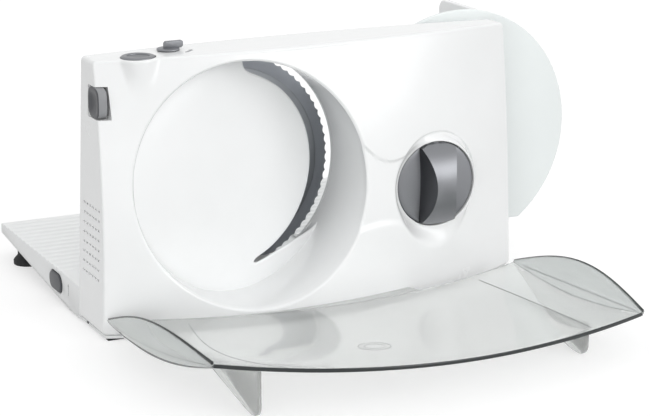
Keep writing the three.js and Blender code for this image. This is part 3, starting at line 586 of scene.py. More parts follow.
smoke_clear = smoked("smoke_clear", (0.9, 0.915, 0.905), 0.75)
# Darker copies of the clear smoke for the tray's wings and for thin lines along its edges, folds, creases
# and ramps: painted shade.
smoke_painted_soft_shade = smoked("smoke_painted_soft_shade", (0.75, 0.78, 0.77), 0.66)
smoke_painted_mid_shade = smoked("smoke_painted_mid_shade", (0.22, 0.232, 0.235), 0.4)
smoke_painted_deep_shade = smoked("smoke_painted_deep_shade", (0.02, 0.025, 0.026), 0.1)

shell_finish = ("housing", white_gloss, ["front_shell"], "white_gloss")
tray_finish = ("tray", smoke_clear, ["slice_tray"], "smoke_clear")


# Housing surfaces
def drop_at(x, left, right):
    reach = -HALF_TOP - BULGE_X if x < BULGE_X else HALF_TOP - BULGE_X
    return (left if x < BULGE_X else right) * ((x - BULGE_X) / reach) ** 2


def front_depth(x, z):
    down = clamp((HEIGHT - z) / (HEIGHT - BOTTOM))
    lean = LEAN - drop_at(x, LEAN_DROP_LEFT, LEAN_DROP_RIGHT)
    return DEPTH - drop_at(x, DROP_LEFT, DROP_RIGHT) + lean * (1 - (1 - down) ** LEAN_POWER)


def side_x(z):
    return HALF_TOP + DRAFT * (HEIGHT - z)


def top_z(x):
    return HEIGHT + CROWN * (1 - (x / HALF_TOP) ** 2)


def curve_z(curve, x):
    """Height of a three-point curve at x, carried on straight at its left."""
    (x0, z0), (x1, z1), (x2, z2) = curve
    if x <= x0:
        return z0 + (x - x0) * (z1 - z0) / (x1 - x0)
    a = x0 - 2 * x1 + x2
    b = 2 * (x1 - x0)
    c = x0 - x
    t = (-b + math.sqrt(b * b - 4 * a * c)) / (2 * a) if abs(a) > 1e-9 else -c / b
    return (1 - t) ** 2 * z0 + 2 * t * (1 - t) * z1 + t * t * z2


def panel_share(x, z, radius, low):
    """1 on the sunken panel of the neck and round the knob, 0 off it."""
    ring = smooth_step(-NECK_HIGH_SOFT, NECK_HIGH_SOFT, PANEL_R - radius)
    ring *= 1 - smooth_step(*PANEL_FADE, low)
    if not NECK_LEFT < x < NECK_HIGH[-1][0]:
        return ring
    high = smooth_step(-NECK_HIGH_SOFT, NECK_HIGH_SOFT, curve_z(NECK_HIGH, x) - z)
    under = smooth_step(-NECK_LOW_SOFT, NECK_LOW_SOFT, z - curve_z(NECK_LOW, x))
    return max(ring, high * under)


def skin_depth(x, z):
    depth = front_depth(x, z)
    across = abs(x - BUTTON_X)
    if across < 2 * COLUMN_R:
        column = math.sqrt(max(0.0, COLUMN_R**2 - across**2)) - 3 * max(0.0, across - COLUMN_R) - BUTTON_Y
        depth = soft_max(depth, column, COLUMN_SOFT)
    radius = max(0.001, math.hypot(x - KNOB_X, z - KNOB_Z))
    low = max(0.0, KNOB_Z - z) / radius
    left = max(0.0, KNOB_X - x) / radius
    depth -= NECK_STEP * panel_share(x, z, radius, low)
    reach = DISH_REACH + DISH_LEFT * left**2 + DISH_LOW * low**3
    return RING_DEPTH + (depth - RING_DEPTH) * smooth_step(0, reach, radius - DISH_R)


def floor_y(x, z):
    left = RECESS_X - RECESS_R
    share = clamp((x - left) / (2 * RECESS_R))
    left_y = FLOOR_STEP - front_depth(left, z)
    return left_y + (-FLOOR_DEEP - left_y) * share


def outline_loop():
    """The housing's outline drawn in by EDGE, from the top split round by the left: (x, z, way out)."""
    top_left = CORNER - side_x(HEIGHT) + EDGE
    low_left = CORNER - side_x(BOTTOM) + EDGE
    top = HEIGHT - EDGE
    low = BOTTOM + EDGE
    coarse = 3
    fine_left = -100
    fine_above = 120
    loop = []

    def corner(x, z, start):
        for turn in arc(start, start + 90, 5)[:-1]:
            way = (math.cos(turn), math.sin(turn))
            loop.append((x + CORNER * way[0], z + CORNER * way[1], way))

    def side(z, sign):
        return (sign * (side_x(z) - EDGE), z, (sign, 0))

    loop += [(x, top_z(x) - EDGE, (0, 1)) for x in spread(SPLIT_X, fine_left, coarse)]
    loop += [(x, top_z(x) - EDGE, (0, 1)) for x in spread(fine_left, top_left, 1.2)]
    corner(top_left, top - CORNER, 90)
    loop += [side(z, -1) for z in spread(top - CORNER, fine_above, 1.6)]
    loop += [side(z, -1) for z in spread(fine_above, low + CORNER, coarse)]
    corner(low_left, low + CORNER, 180)
    loop += [(x, low, (0, -1)) for x in spread(low_left, SPLIT_X, coarse)]
    left_count = len(loop)
    loop += [(x, low, (0, -1)) for x in spread(SPLIT_X, -low_left, coarse)]
    corner(-low_left, low + CORNER, 270)
    loop += [side(z, 1) for z in spread(low + CORNER, top - CORNER, 2.5)]
    corner(-top_left, top - CORNER, 0)
    loop += [(x, top_z(x) - EDGE, (0, 1)) for x in spread(-top_left, SPLIT_X, coarse)]
    return loop, left_count


def bore_spot(ux, uz, y, grow=0.0):
    """A point of the outlet's bore: round at the front, then narrower and drifting to the right."""
    front = -front_depth(RECESS_X + RECESS_R * ux, RECESS_Z + RECESS_R * uz)
    share = clamp(1 - y / front)
    radius = RECESS_R + grow - share * BORE_SHRINK
    return RECESS_X + share * BORE_SHIFT_X + radius * ux, RECESS_Z + share * BORE_SHIFT_Z + radius * uz


def passage_low(x, y):
    """Height of the passage's lower side, which falls to the left and to the back."""
    return PASSAGE_LOW_Z + PASSAGE_SLOPE * x - PASSAGE_FALL * y


def wall_end(ux, uz):
    """How far back the outlet's wall runs: to the rear at the passage, else just behind the floor."""
    back = floor_y(RECESS_X + RECESS_R * ux, RECESS_Z + RECESS_R * uz)
    x, z = bore_spot(ux, uz, back)
    if x > PASSAGE_X + 0.5 and z > passage_low(x, back):
        return PASSAGE_END
    return back + FLOOR_THICK


def skin_points(centre, way, start, end, count, inside=0, power=1):
    """Points of the front, or that far inside it, along a ray from one radius to another."""
    points = []
    for i in range(count + 1):
        radius = start + (end - start) * (i / count) ** power
        x = centre[0] + way[0] * radius
        z = centre[1] + way[1] * radius
        points.append((x, inside - skin_depth(x, z), z))
    return points


def outlet_ray(x, z):
    """Points from the inside of the skin, round the outlet's edge and out over the front to (x, z)."""
    reach = math.hypot(x - RECESS_X, z - RECESS_Z)
    ux = (x - RECESS_X) / reach
    uz = (z - RECESS_Z) / reach
    ray = ((RECESS_X, RECESS_Z), (ux, uz))

    def spot(radius):
        return RECESS_X + ux * radius, RECESS_Z + uz * radius

    points = skin_points(*ray, reach, RECESS_R + WALL, 12, WALL)
    back = wall_end(ux, uz)
    start = RECESS_R + RECESS_EDGE
    sx, sz = spot(start)
    front = -skin_depth(sx, sz)

    def on_bore(y, grow):
        px, pz = bore_spot(ux, uz, y, grow)
        return (px, y, pz)

    points.append(on_bore(back, WALL))
    for i in range(9):
        points.append(on_bore(back + (front + RECESS_EDGE - back) * i / 8, 0))
    for turn in arc(0, 90, 6)[1:-1]:
        px, pz = spot(RECESS_R + RECESS_EDGE * (1 - math.cos(turn)))
        points.append((px, front + RECESS_EDGE * (1 - math.sin(turn)), pz))
    return points + skin_points(*ray, start, reach, 60)


def knob_ray(x, z):
    """Points from the inside of the skin, round the knob's pocket and out over the front to (x, z)."""
    reach = math.hypot(x - KNOB_X, z - KNOB_Z)
    ux = (x - KNOB_X) / reach
    uz = (z - KNOB_Z) / reach
    ray = ((KNOB_X, KNOB_Z), (ux, uz))

    def spot(radius, depth):
        return (KNOB_X + ux * radius, -depth, KNOB_Z + uz * radius)

    liner = POCKET_R + WALL
    points = skin_points(*ray, reach, liner, 12, WALL)
    points.append(spot(liner, POCKET_DEPTH - WALL))
    points.append(spot(SPINDLE_R, POCKET_DEPTH - WALL))
    points.append(spot(SPINDLE_R, POCKET_DEPTH))
    points.append(spot(POCKET_R, POCKET_DEPTH))
    points.append(spot(POCKET_R, RING_DEPTH - POCKET_STRAIGHT))
    for turn in arc(0, 90, 4)[:-1]:
        radius = POCKET_R + POCKET_ROUND * (1 - math.cos(turn))
        points.append(spot(radius, RING_DEPTH - POCKET_ROUND * (1 - math.sin(turn))))
    return points + skin_points(*ray, POCKET_R + POCKET_ROUND, reach, 64, power=1.6)


def housing_skin():
    loop, left_count = outline_loop()
    flat = [(x, z) for x, z, _ in loop]
    top = flat[0]
    low = flat[left_count]
    seam = [(SPLIT_X, z) for z in spread(low[1], top[1], 2)]
    left = flat[:left_count] + seam
    right = flat[left_count:] + [(SPLIT_X, z) for _, z in [top] + seam[:0:-1]]
    strip = []
    for x, z, way in loop:
        front = -skin_depth(x, z)
        rear = -REAR_LOW_GAP if way[1] < -0.5 else -REAR_GAP
        column = []
        for turn in arc(0, 90, 6):
            out = EDGE * math.sin(turn)
            column.append((x + way[0] * out, front + EDGE * (1 - math.cos(turn)), z + way[1] * out))
        side = column[-1]
        for i in range(1, 6):
            column.append((side[0], side[1] + (rear - side[1]) * i / 5, side[2]))
        inset = EDGE - WALL
        column.append((x + way[0] * inset, rear, z + way[1] * inset))
        column.append((x + way[0] * inset, front + 3 * WALL, z + way[1] * inset))
        column.append((x, front + WALL, z))
        strip.append(column)
    grids = [
        ([outlet_ray(x, z) for x, z in left], True),
        ([knob_ray(x, z) for x, z in right], True),
        (strip, True),
    ]
    made = piece("housing_skin", *join_columns(grids), *shell_finish)
    gap = LOCK_R + SWITCH_GAP
    beside = -HALF_TOP - 15
    ahead = -90
    cut(made, *box_shape(beside, NOTCH_X, ahead, LOCK_Y + gap, LOCK_Z - gap, LOCK_Z + gap))
    cut(made, *side_vents())
    under = HEIGHT - BUTTON_HOLE
    above = 250
    gap = BUTTON_R + SWITCH_GAP
    hole = turned([(0, under), (gap, under), (gap, above), (0, above)], (BUTTON_X, BUTTON_Y), "Z", 64)
    cut(made, *join_columns([(hole, True)]))
    soften(made, 35)


def side_vents():
    vents = []
    for row in range(VENT_ROWS):
        z = VENT_Z + VENT_PITCH_Z * row
        left = -side_x(z)
        for hole in range(VENT_HOLES):
            y = VENT_Y + VENT_PITCH_Y * hole
            vents.append(box_shape(left - VENT_DEEP, left + VENT_DEEP, y, y + VENT_LONG, z, z + VENT_TALL))
    return merge_shapes(vents)


def wall_spot(turn, level, grow):
    """The bore's point in a direction at a depth, or where it meets the floor if level is None."""
    ux = math.cos(turn)
    uz = math.sin(turn)
    if level is not None:
        return bore_spot(ux, uz, level, grow)
    x = RECESS_X + RECESS_R * ux
    z = RECESS_Z + RECESS_R * uz
    for _ in range(4):
        x, z = bore_spot(ux, uz, floor_y(x, z), grow)
    return x, z


def wall_turn(low, high, level, rule):
    """The direction between two others where a rule on the bore's point turns positive."""
    for _ in range(30):
        middle = (low + high) / 2
        if rule(*wall_spot(middle, level, PASSAGE_OVERLAP)) > 0:
            high = middle
        else:
            low = middle
    return (low + high) / 2


def outlet_floor():
    columns = []
    count = 240
    for i in range(count):
        rim_x, rim_z = wall_spot(2 * math.pi * i / count, None, FLOOR_OVERLAP)
        column = []
        for k in range(25):
            x = FLOOR_X + (rim_x - FLOOR_X) * k / 24
            z = FLOOR_Z + (rim_z - FLOOR_Z) * k / 24
            column.append((x, floor_y(x, z), z))
        column += [(x, y + FLOOR_THICK, z) for x, y, z in column[:9:-5] + column[:1]]
        columns.append(column)
    made = ring_piece("outlet_floor", columns, *shell_finish)
    wide = [(x + nx * FLOOR_EDGE, z + nz * FLOOR_EDGE) for x, y, z, nx, nz in passage_rim(None)]
    ahead = -150
    behind = 10
    cut(made, *prism_shape(wide, "Y", ahead, behind))
    soften(made, 35)


def passage_outline(level):
    """The passage's outline at a depth, or on the floor where level is None."""
    end = math.degrees(math.acos((PASSAGE_X - FLOOR_X) / FLOOR_R))
    inner = bend(FLOOR_X, FLOOR_Z, FLOOR_R, end, -end, 90)
    first = wall_turn(-2, 0, None, lambda x, z: x - PASSAGE_X)
    corner = wall_turn(first, 0, None, lambda x, z: z - passage_low(x, floor_y(x, z)))
    corner_x = wall_spot(corner, None, PASSAGE_OVERLAP)[0]
    start = wall_turn(-2, 0, level, lambda x, z: x - corner_x)
    stop = wall_turn(1, 2, level, lambda x, z: PASSAGE_X - x)
    outer = [wall_spot(start + (stop - start) * k / 120, level, PASSAGE_OVERLAP) for k in range(121)]
    low = []
    for k in range(24):
        spot_x = PASSAGE_X + (corner_x - PASSAGE_X) * k / 24
        under = wall_turn(-2, 0, level, lambda x, z: x - spot_x)
        wall_z = wall_spot(under, level, PASSAGE_OVERLAP)[1]
        spot_y = floor_y(spot_x, wall_z + 10) if level is None else level
        low.append((spot_x, max(wall_z, passage_low(spot_x, spot_y))))
    x, z = inner[-1]
    foot = low[0][1]
    left = [(x, z + (foot - z) * k / 4) for k in (1, 2, 3)]
    x, z = outer[-1]
    head = [(x, z + (inner[0][1] - z) * k / 7) for k in range(1, 7)]
    ring = inner + left + low + outer + head
    corners = (0, len(inner) - 1, len(inner + left), len(inner + left + low))
    for _ in range(CORNER_PASSES):
        for corner in corners:
            for i in range(corner - CORNER_REACH, corner + CORNER_REACH + 1):
                x0, z0 = ring[i - 1]
                x1, z1 = ring[(i + 1) % len(ring)]
                x, z = ring[i]
                ring[i] = ((x0 + 2 * x + x1) / 4, (z0 + 2 * z + z1) / 4)
    return ring[::-1]


def passage_rim(level):
    """The outline's points with the way out of the passage at each."""
    flat = passage_outline(level)
    count = len(flat)
    rim = []
    for i, (x, z) in enumerate(flat):
        x0, z0 = flat[i - 1]
        x1, z1 = flat[(i + 1) % count]
        length = math.hypot(x1 - x0, z1 - z0)
        y = floor_y(x, z) if level is None else level
        rim.append((x, y, z, (z1 - z0) / -length, (x1 - x0) / length))
    return rim


def outlet_passage():
    """A rounded lip round the passage and its wall back to the rear."""
    columns = []
    for (x, y, z, nx, nz), (rx, ry, rz, _, _) in zip(passage_rim(None), passage_rim(PASSAGE_END)):

        def on_floor(out, back):
            return (x + nx * out, floor_y(x + nx * out, z + nz * out) + back, z + nz * out)

        column = []
        for turn in arc(0, 90, 6):
            column.append(on_floor(FLOOR_EDGE * (1 - math.sin(turn)), FLOOR_EDGE * (1 - math.cos(turn))))
        fx, fy, fz = column[-1]
        for k in range(1, 5):
            column.append((fx + (rx - fx) * k / 4, fy + (ry - fy) * k / 4, fz + (rz - fz) * k / 4))
        column.append((rx + nx * FLOOR_THICK, ry, rz + nz * FLOOR_THICK))
        column.append(on_floor(FLOOR_THICK, FLOOR_THICK))
        column.append(on_floor(FLOOR_EDGE, FLOOR_THICK))
        column.append(column[0])
        columns.append(column)
    ring_piece("outlet_passage", columns, *shell_finish, 35)


# Blade
def blade_disc():
    per_tooth = 10
    count = BLADE_TEETH * per_tooth
    body = BLADE_R - BLADE_BEVEL
    columns = []
    for i in range(count):
        turn = 2 * math.pi * i / count
        tip = BLADE_R - TOOTH * abs(math.sin(math.pi * i / per_tooth))
        profile = [
            (BLADE_BORE, BLADE_FACE),
            (BLADE_BORE, BLADE_BACK),
            (30, BLADE_BACK),
            (60, BLADE_BACK),
            (body - 0.5, BLADE_BACK),
            (body, BLADE_BACK + 0.15),
            (BLADE_R - 3, BLADE_RIM + 0.1),
            (tip, BLADE_FACE - 0.25),
            (tip, BLADE_FACE),
            (BLADE_R - 4, BLADE_FACE),
            (40, BLADE_FACE),
            (BLADE_BORE, BLADE_FACE),
        ]
        across = math.cos(turn)
        up = math.sin(turn)
        columns.append([(BLADE_X + r * across, y, BLADE_Z + r * up) for r, y in profile])
    made = ring_piece("blade_disc", columns, "cutter", blade_steel, ["blade"], "blade_steel", 4)

    def on_bevel(face):
        x, y, z = face.center
        return math.hypot((x - SHIFT_X) / MM - BLADE_X, z / MM - BLADE_Z) > body

    paint(made, blade_edge, on_bevel)


# Thickness knob
def knob_disc():
    back = KNOB_DISC - KNOB_FACE
    bore_end = KNOB_BORE_DEEP - KNOB_FACE
    profile = [
        (KNOB_BORE, bore_end),
        (KNOB_BORE, back),
        (KNOB_R - 1, back),
        (KNOB_R, back - 1),
        (KNOB_R, 1 - KNOB_FACE),
        (KNOB_R - 0.3, 0.3 - KNOB_FACE),
    ]
    for k in range(13):
        radius = (KNOB_R - 1) * (1 - k / 12)
        profile.append((radius, -KNOB_FACE - KNOB_DOME * (1 - (radius / KNOB_R) ** 2)))
    profile += [(0, bore_end), (KNOB_BORE, bore_end)]
    columns = turned(profile, (KNOB_X, KNOB_Z), "Y", 128)
    ring_piece("knob_disc", columns, "knob", grey_paint, ["thickness_knob"], "grey_plastic", 25)


def grip_bar():
    arch_r = (KNOB_R**2 + KNOB_ARCH**2) / (2 * KNOB_ARCH)
    columns = []
    stations = 64
    steps = 8
    for i in range(stations + 1):
        z = (KNOB_R - 0.6) * (2 * i / stations - 1)
        rise = max(0.15, math.sqrt(arch_r**2 - z * z) - (arch_r - KNOB_ARCH))
        share = (z / KNOB_R) ** 2
        limit = math.sqrt(max(0.01, (KNOB_R - 0.4) ** 2 - z * z))
        front = min(GRIP_WAIST + (GRIP_END - GRIP_WAIST) * share, limit)
        base = min(GRIP_BASE, limit)
        flank = [(base, GRIP_SUNK - KNOB_FACE)]
        for k in range(steps + 1):
            t = k / steps
            flank.append((base + (front - base) * t, -KNOB_FACE - (rise - GRIP_ROUND) * t))
        column = [(KNOB_X - half, y, KNOB_Z + z) for half, y in flank]
        for k in range(steps + 1):
            x = 2 * k / steps - 1
            column.append((KNOB_X + (front - 0.4) * x, GRIP_ROUND * x * x - KNOB_FACE - rise, KNOB_Z + z))
        column += [(KNOB_X + half, y, KNOB_Z + z) for half, y in reversed(flank)]
        columns.append(column)
    points, faces = join_columns([(columns, False)])
    rows = len(columns[0])
    faces += [(i * rows, (i + 1) * rows, (i + 2) * rows - 1, (i + 1) * rows - 1) for i in range(stations)]
    faces += [tuple(range(rows)), tuple(range(stations * rows, (stations + 1) * rows))]
    made = piece("grip_bar", points, faces, "knob", grey_paint, ["thickness_knob"], "grey_plastic", 30)
    # The grip bar's flanks, the faces turned sideways, get a darker copy of its grey paint: painted shade.
    paint(made, flank_painted_shade, lambda face: abs(face.normal.x) > 0.7)


# Stop plate
def stop_plate():
    edge = BLADE_R + PLATE_GAP
    plate_start = math.degrees(math.asin((PLATE_LOW - PLATE_Z) / PLATE_R))
    blade_end = math.degrees(math.asin((PLATE_LOW - BLADE_Z) / edge))
    outline = bend(PLATE_X, PLATE_Z, PLATE_R, plate_start, PLATE_TOP_TURN, 110)
    outline += bend(BLADE_X, BLADE_Z, edge, BLADE_TOP_TURN, blade_end, 60)
    finish = ("stop", pale_plastic, ["stop_plate"], "pale_plastic")
    bevel(prism("stop_disc", outline, "Y", BLADE_FACE - PLATE_THICK, BLADE_FACE, *finish), 1.1)
    tube = [
        (PLATE_TUBE_BORE, PLATE_TUBE_FRONT),
        (PLATE_TUBE_R, PLATE_TUBE_FRONT),
        (PLATE_TUBE_R, PLATE_TUBE_BACK),
        (PLATE_TUBE_BORE, PLATE_TUBE_BACK),
        (PLATE_TUBE_BORE, PLATE_TUBE_FRONT),
    ]
    ring_piece("stop_tube", turned(tube, (KNOB_X, KNOB_Z), "Y", 48), *finish)


# Switches
def power_button():
    top = top_z(BUTTON_SHARE * HALF_TOP) + BUTTON_RISE
    low = HEIGHT - BUTTON_SKIRT
    stem = low - STEM_LONG
    rim = BUTTON_R - BUTTON_RIM
    profile = [(0, stem), (BUTTON_STEM_R, stem), (BUTTON_STEM_R, low), (BUTTON_R - 0.6, low)]
    profile += [(BUTTON_R, low + 0.6), (BUTTON_R, top - BUTTON_EDGE_TALL)]
    for turn in arc(0, 90, 5)[1:]:
        inwards = BUTTON_EDGE_WIDE * (1 - math.cos(turn))
        profile.append((BUTTON_R - inwards, top - BUTTON_EDGE_TALL * (1 - math.sin(turn))))
    profile.append((rim, top))
    for turn in arc(0, 90, 5)[1:]:
        profile.append((rim - math.sin(turn), top - 0.9 * (1 - math.cos(turn))))
    profile += [(5.5, top - 1.3), (3, top - 1.65), (0, top - 1.8)]
    columns = turned(profile, (BUTTON_X, BUTTON_Y), "Z", 96)
    ring_piece("power_button_cap", columns, "power", grey_paint, ["power_button"], "grey_plastic", 50)


def lock_lever():
    low = top_z(LEVER_SHARE * HALF_TOP) + LEVER_GAP
    stem = HEIGHT - STEM_LONG
    profile = [(0, stem), (LEVER_STEM_R, stem), (LEVER_STEM_R, low), (LEVER_R - 0.3, low)]
    profile += [(LEVER_R, low + 0.3), (LEVER_R, low + 0.7)]
    for turn in arc(0, 90, 5)[1:]:
        profile.append((LEVER_R - 2 * (1 - math.cos(turn)), low + 0.7 + 0.9 * math.sin(turn)))
    profile += [(4, low + 1.8), (0, low + 1.9)]
    finish = ("lock", grey_paint, ["lock_lever"], "grey_plastic")
    ring_piece("lock_lever_disc", turned(profile, (LEVER_X, LEVER_Y), "Z", 64), *finish)
    left = LEVER_X - LEVER_TAIL
    right = LEVER_X + LEVER_REACH
    shoulder = low + LEVER_TALL - LEVER_SOFT
    outline = [(left, low + 1.2), (right - LEVER_SOFT, low + 1.2), (right, low + 2.4)]
    outline += bend(right - LEVER_SOFT, shoulder, LEVER_SOFT, 0, 90, 5)
    outline += [(left + 1.2, low + LEVER_TALL), (left, shoulder)]
    bevel(prism("lock_lever_fin", outline, "Y", LEVER_Y - LEVER_HALF, LEVER_Y + LEVER_HALF, *finish), 0.5)


def interlock_button():
    right = LOCK_LEFT + LOCK_WIDE
    profile = [(0, right), (LOCK_R - 0.5, right), (LOCK_R, right - 0.5), (LOCK_R, LOCK_LEFT + 1)]
    for turn in arc(0, 90, 4)[1:]:
        profile.append((LOCK_R - 1 + math.cos(turn), LOCK_LEFT + 1 - math.sin(turn)))
    profile += [(8.4, LOCK_LEFT), (6, LOCK_LEFT + 1.1), (3, LOCK_LEFT + 1.8), (0, LOCK_LEFT + 2)]
    columns = []
    for column in turned(profile, (LOCK_Y, LOCK_Z), "X", 72):
        y = column[1][1] - LOCK_Y
        z = column[1][2] - LOCK_Z
        size = math.hypot(y, z) / (abs(y) ** LOCK_SQUARE + abs(z) ** LOCK_SQUARE) ** (1 / LOCK_SQUARE)
        squared = []
        for px, py, pz in column:
            squared.append((px, LOCK_Y + (py - LOCK_Y) * size, LOCK_Z + (pz - LOCK_Z) * size))
        columns.append(squared)
    finish = ("interlock", dark_plastic, ["interlock_button"], "dark_plastic")
    made = ring_piece("interlock_cap", columns, *finish)
    # The cap's side faces get a lighter grey than its dark end: painted light, standing for the lit side.
    paint(made, grey_plastic, lambda face: abs(face.normal.x) < 0.5)


def small_marks():
    """Plain printed marks: a tick by the lever and an arrow by the release button."""
    top = top_z(-97.5)
    outline = [(-101, -27.6), (-99.4, -28.6), (-93.2, -23.8), (-93, -20.6), (-95.8, -21.2), (-95.4, -22.8)]
    prism("lever_mark", outline, "Z", top - PRINT_SUNK, top + PRINT_PROUD, "housing", grey_plastic)
    side = -TABLE_HALF
    outline = [(24.1, 12.3), (24.7, 12.3), (24.7, 19.6), (25.6, 19.6)]
    outline += [(24.4, 22), (23.2, 19.6), (24.1, 19.6)]
    prism("release_mark", outline, "X", side - PRINT_PROUD, side + PRINT_SUNK, "housing", grey_plastic)


def capsule(y, z, length, height, count=14):
    r = height / 2
    half = length / 2 - r
    return bend(y + half, z, r, -90, 90, count) + bend(y - half, z, r, 90, 270, count)


def release_button():
    left = -TABLE_HALF - RELEASE_PROUD
    right = left + RELEASE_DEEP
    finish = ("release", dark_plastic, ["release_button"], "dark_plastic")
    outline = capsule(RELEASE_Y, RELEASE_Z, RELEASE_LONG, RELEASE_TALL)
    bevel(prism("release_cap", outline, "X", left, right, *finish), 1.0)
    outline = capsule(RELEASE_Y, RELEASE_Z, RELEASE_LONG + RELEASE_FLANGE, RELEASE_TALL + RELEASE_FLANGE)
    bevel(prism("release_flange", outline, "X", RELEASE_SEAT - TABLE_HALF, right, *finish), 0.5)


# Tray
def tray_ends(s):
    """How far back the sheet's rear edge and its front edge lie, where s runs from -1 to 1 across it."""
    return TRAY_BACK + TRAY_BACK_RISE * s * s, TRAY_FRONT + TRAY_FRONT_RISE * s * s


def tray_point(s, t):
    """A point of the sheet's top: s runs from left to right, t from the rear edge to the front."""
    back, front = tray_ends(s)
    x = TRAY_X + s * (TRAY_HALF - TRAY_TAPER * t)
    z = TRAY_BACK_Z + (TRAY_FRONT_Z - TRAY_BACK_Z) * t - TRAY_SAG * math.sin(math.pi * t)
    near_end = max(0.0, abs(s) - TRAY_END_START) / (1 - TRAY_END_START)
    z += (TRAY_CORNER_RISE * t**3 - TRAY_END_SAG * math.sin(math.pi * t)) * near_end
    z += TRAY_ROLL * (t * max(0.0, TRAY_ROLL_END - s)) ** 2
    return x, back + (front - back) * t, z


def wing_lens(t):
    return WING_ENDS + (1 - WING_ENDS) * math.sin(math.pi * t)


def wing_point(s, side, t, out):
    """A point of the tray's top; on a wing, out runs from the fold to the wing's edge."""
    x, y, z = tray_point(s, t)
    rise = wing_lens(t)
    bow = WING_BOW * math.sin(math.pi * out) * rise
    return x + side * (WING_FLARE * rise * out + bow), y, z + WING_RISE * rise * out - bow


def tray_column(s, side, out):
    """Top and bottom points of one column of the tray."""
    rows = 48
    top = []
    low = []
    thick = TRAY_SHEET * (1 - WING_THIN * out)
    outwards = side * WING_SPREAD * (1 + out)
    for j in range(rows + 1):
        t = j / rows
        x, y, z = wing_point(s, side, t, out)
        y = max(y, tray_point(s, 1)[1] + TRAY_EDGE)
        top.append((x, y, z))
        low.append((x + outwards, y, z - thick))
    return top + low[::-1]


def slice_tray():
    columns = []
    for k in range(WING_STEPS, 0, -1):
        columns.append(tray_column(-1, -1, k / WING_STEPS))
    sheet = 72
    for i in range(sheet + 1):
        columns.append(tray_column(2 * i / sheet - 1, 0, 0))
    for k in range(1, WING_STEPS + 1):
        columns.append(tray_column(1, 1, k / WING_STEPS))
    points, faces = join_columns([([column + column[:1] for column in columns], False)])
    rows = len(columns[0]) + 1
    for first in (0, (len(columns) - 1) * rows):
        for j in range(rows // 2 - 1):
            faces.append((first + j, first + j + 1, first + rows - 3 - j, first + rows - 2 - j))
    made = piece("tray_sheet", points, faces, *tray_finish, 35)
    middle = at(TRAY_X, 0, 0)[0]
    edge = (TRAY_HALF - TRAY_TAPER) * MM
    # The wings' side faces get a darker copy of the smoke: painted shade.
    paint(made, smoke_painted_soft_shade, lambda face: abs(face.center.x - middle) > edge and abs(face.normal.x) > 0.5)


def tray_line(name, path, material):
    """A thin rounded line of painted shade along a path of (x, y, z, half width, half height)."""
    columns = []
    for x, y, z, wide, tall in path:
        column = []
        for t in arc(0, 360, 8):
            out = wide * math.cos(t)
            column.append((x + out, y + out * 0.5, z + tall * math.sin(t)))
        columns.append(column)
    piece(name, *capped_columns(columns), "tray", material, ["slice_tray"], "smoke_clear", 50)


def tray_edges():
    """Painted shade: thin dark smoked lines along the sheet's front edge, up the wings and along their
    folds, creases and ramps, where the clear edges look dark.
    """
    inset = 1
    front = []
    for i in range(97):
        x, y, z = tray_point(i / 48 - 1, 1)
        front.append((x, y + inset, z - 1.3, *FRONT_LINE))
    tray_line("tray_front_edge", front, smoke_painted_deep_shade)
    for side, name in ((-1, "left"), (1, "right")):
        wing = []
        fold = []
        crease = []
        for i in range(49):
            t = i / 48
            size = 0.45 + 0.75 * t * t
            x, y, z = wing_point(side, side, t, 1)
            wing.append((x + side * 1.1, y + inset, z - 0.4, size, size))
            x, y, z = wing_point(side, side, t, 0)
            fold.append((x + side * 0.8, y + inset, z - 1.8, *FOLD_LINE))
            x, y, z = wing_point(side, side, t, CREASE_OUT)
            crease.append((x + side * 0.9, y + inset, z - 1, *CREASE_LINE))
        ramp = []
        for i in range(3, 47):
            t = i / 48
            x, y, z = tray_point(side * (RAMP_S + RAMP_BOW * math.sin(math.pi * t)), t)
            ramp.append((x, y, z, *RAMP_LINE))
        # Ramp lines of painted shade, lighter on the left than on the right.
        tray_line(f"tray_ramp_{name}", ramp, smoke_painted_soft_shade if side < 0 else smoke_painted_mid_shade)
        tray_line(f"tray_wing_edge_{name}", wing, smoke_painted_deep_shade)
        tray_line(f"tray_fold_{name}", fold, smoke_painted_mid_shade)
        tray_line(f"tray_crease_{name}", crease[4:-2], smoke_painted_mid_shade)


def tray_lip():
    """The tray's thin rear lip, which reaches down to the housing's front."""
    columns = []
    shares = (0, 0.25, 0.5, 0.75, 1)
    for x in spread(LIP_LEFT, LIP_RIGHT, 4) + [LIP_RIGHT]:
        rear = -front_depth(x, LIP_Z) - LIP_GAP
        edge = tray_ends((x - TRAY_X) / TRAY_HALF)[0] - LIP_THICK
        column = []
        for share in shares:
            top = LIP_Z + LIP_THICK + (TRAY_BACK_Z - 2.4 - LIP_Z) * share
            column.append((x, rear + (edge - rear) * share, top))
        for share in reversed(shares):
            low = LIP_Z + (TRAY_BACK_Z - LIP_THICK - LIP_Z) * share
            column.append((x, rear + (edge - rear) * share, low))
        columns.append(column + column[:1])
    piece("tray_lip", *capped_columns(columns), *tray_finish, 35)


def tray_mark():
    """Two plain raised rings moulded into the sheet."""
    for number, radius in enumerate(MARK_RADII):
        columns = []
        for i in range(72):
            turn = 2 * math.pi * i / 72
            column = []
            for around in arc(0, 360, 8)[:-1]:
                reach = radius + 0.4 * math.cos(around)
                s = MARK_S + reach * math.cos(turn) / TRAY_HALF
                t = MARK_T - reach * math.sin(turn) / (TRAY_BACK - TRAY_FRONT)
                x, y, z = tray_point(s, t)
                column.append((x, y, z + 0.3 * math.sin(around)))
            columns.append(column + column[:1])
        ring_piece(f"tray_ring_{number + 1}", columns, *tray_finish)


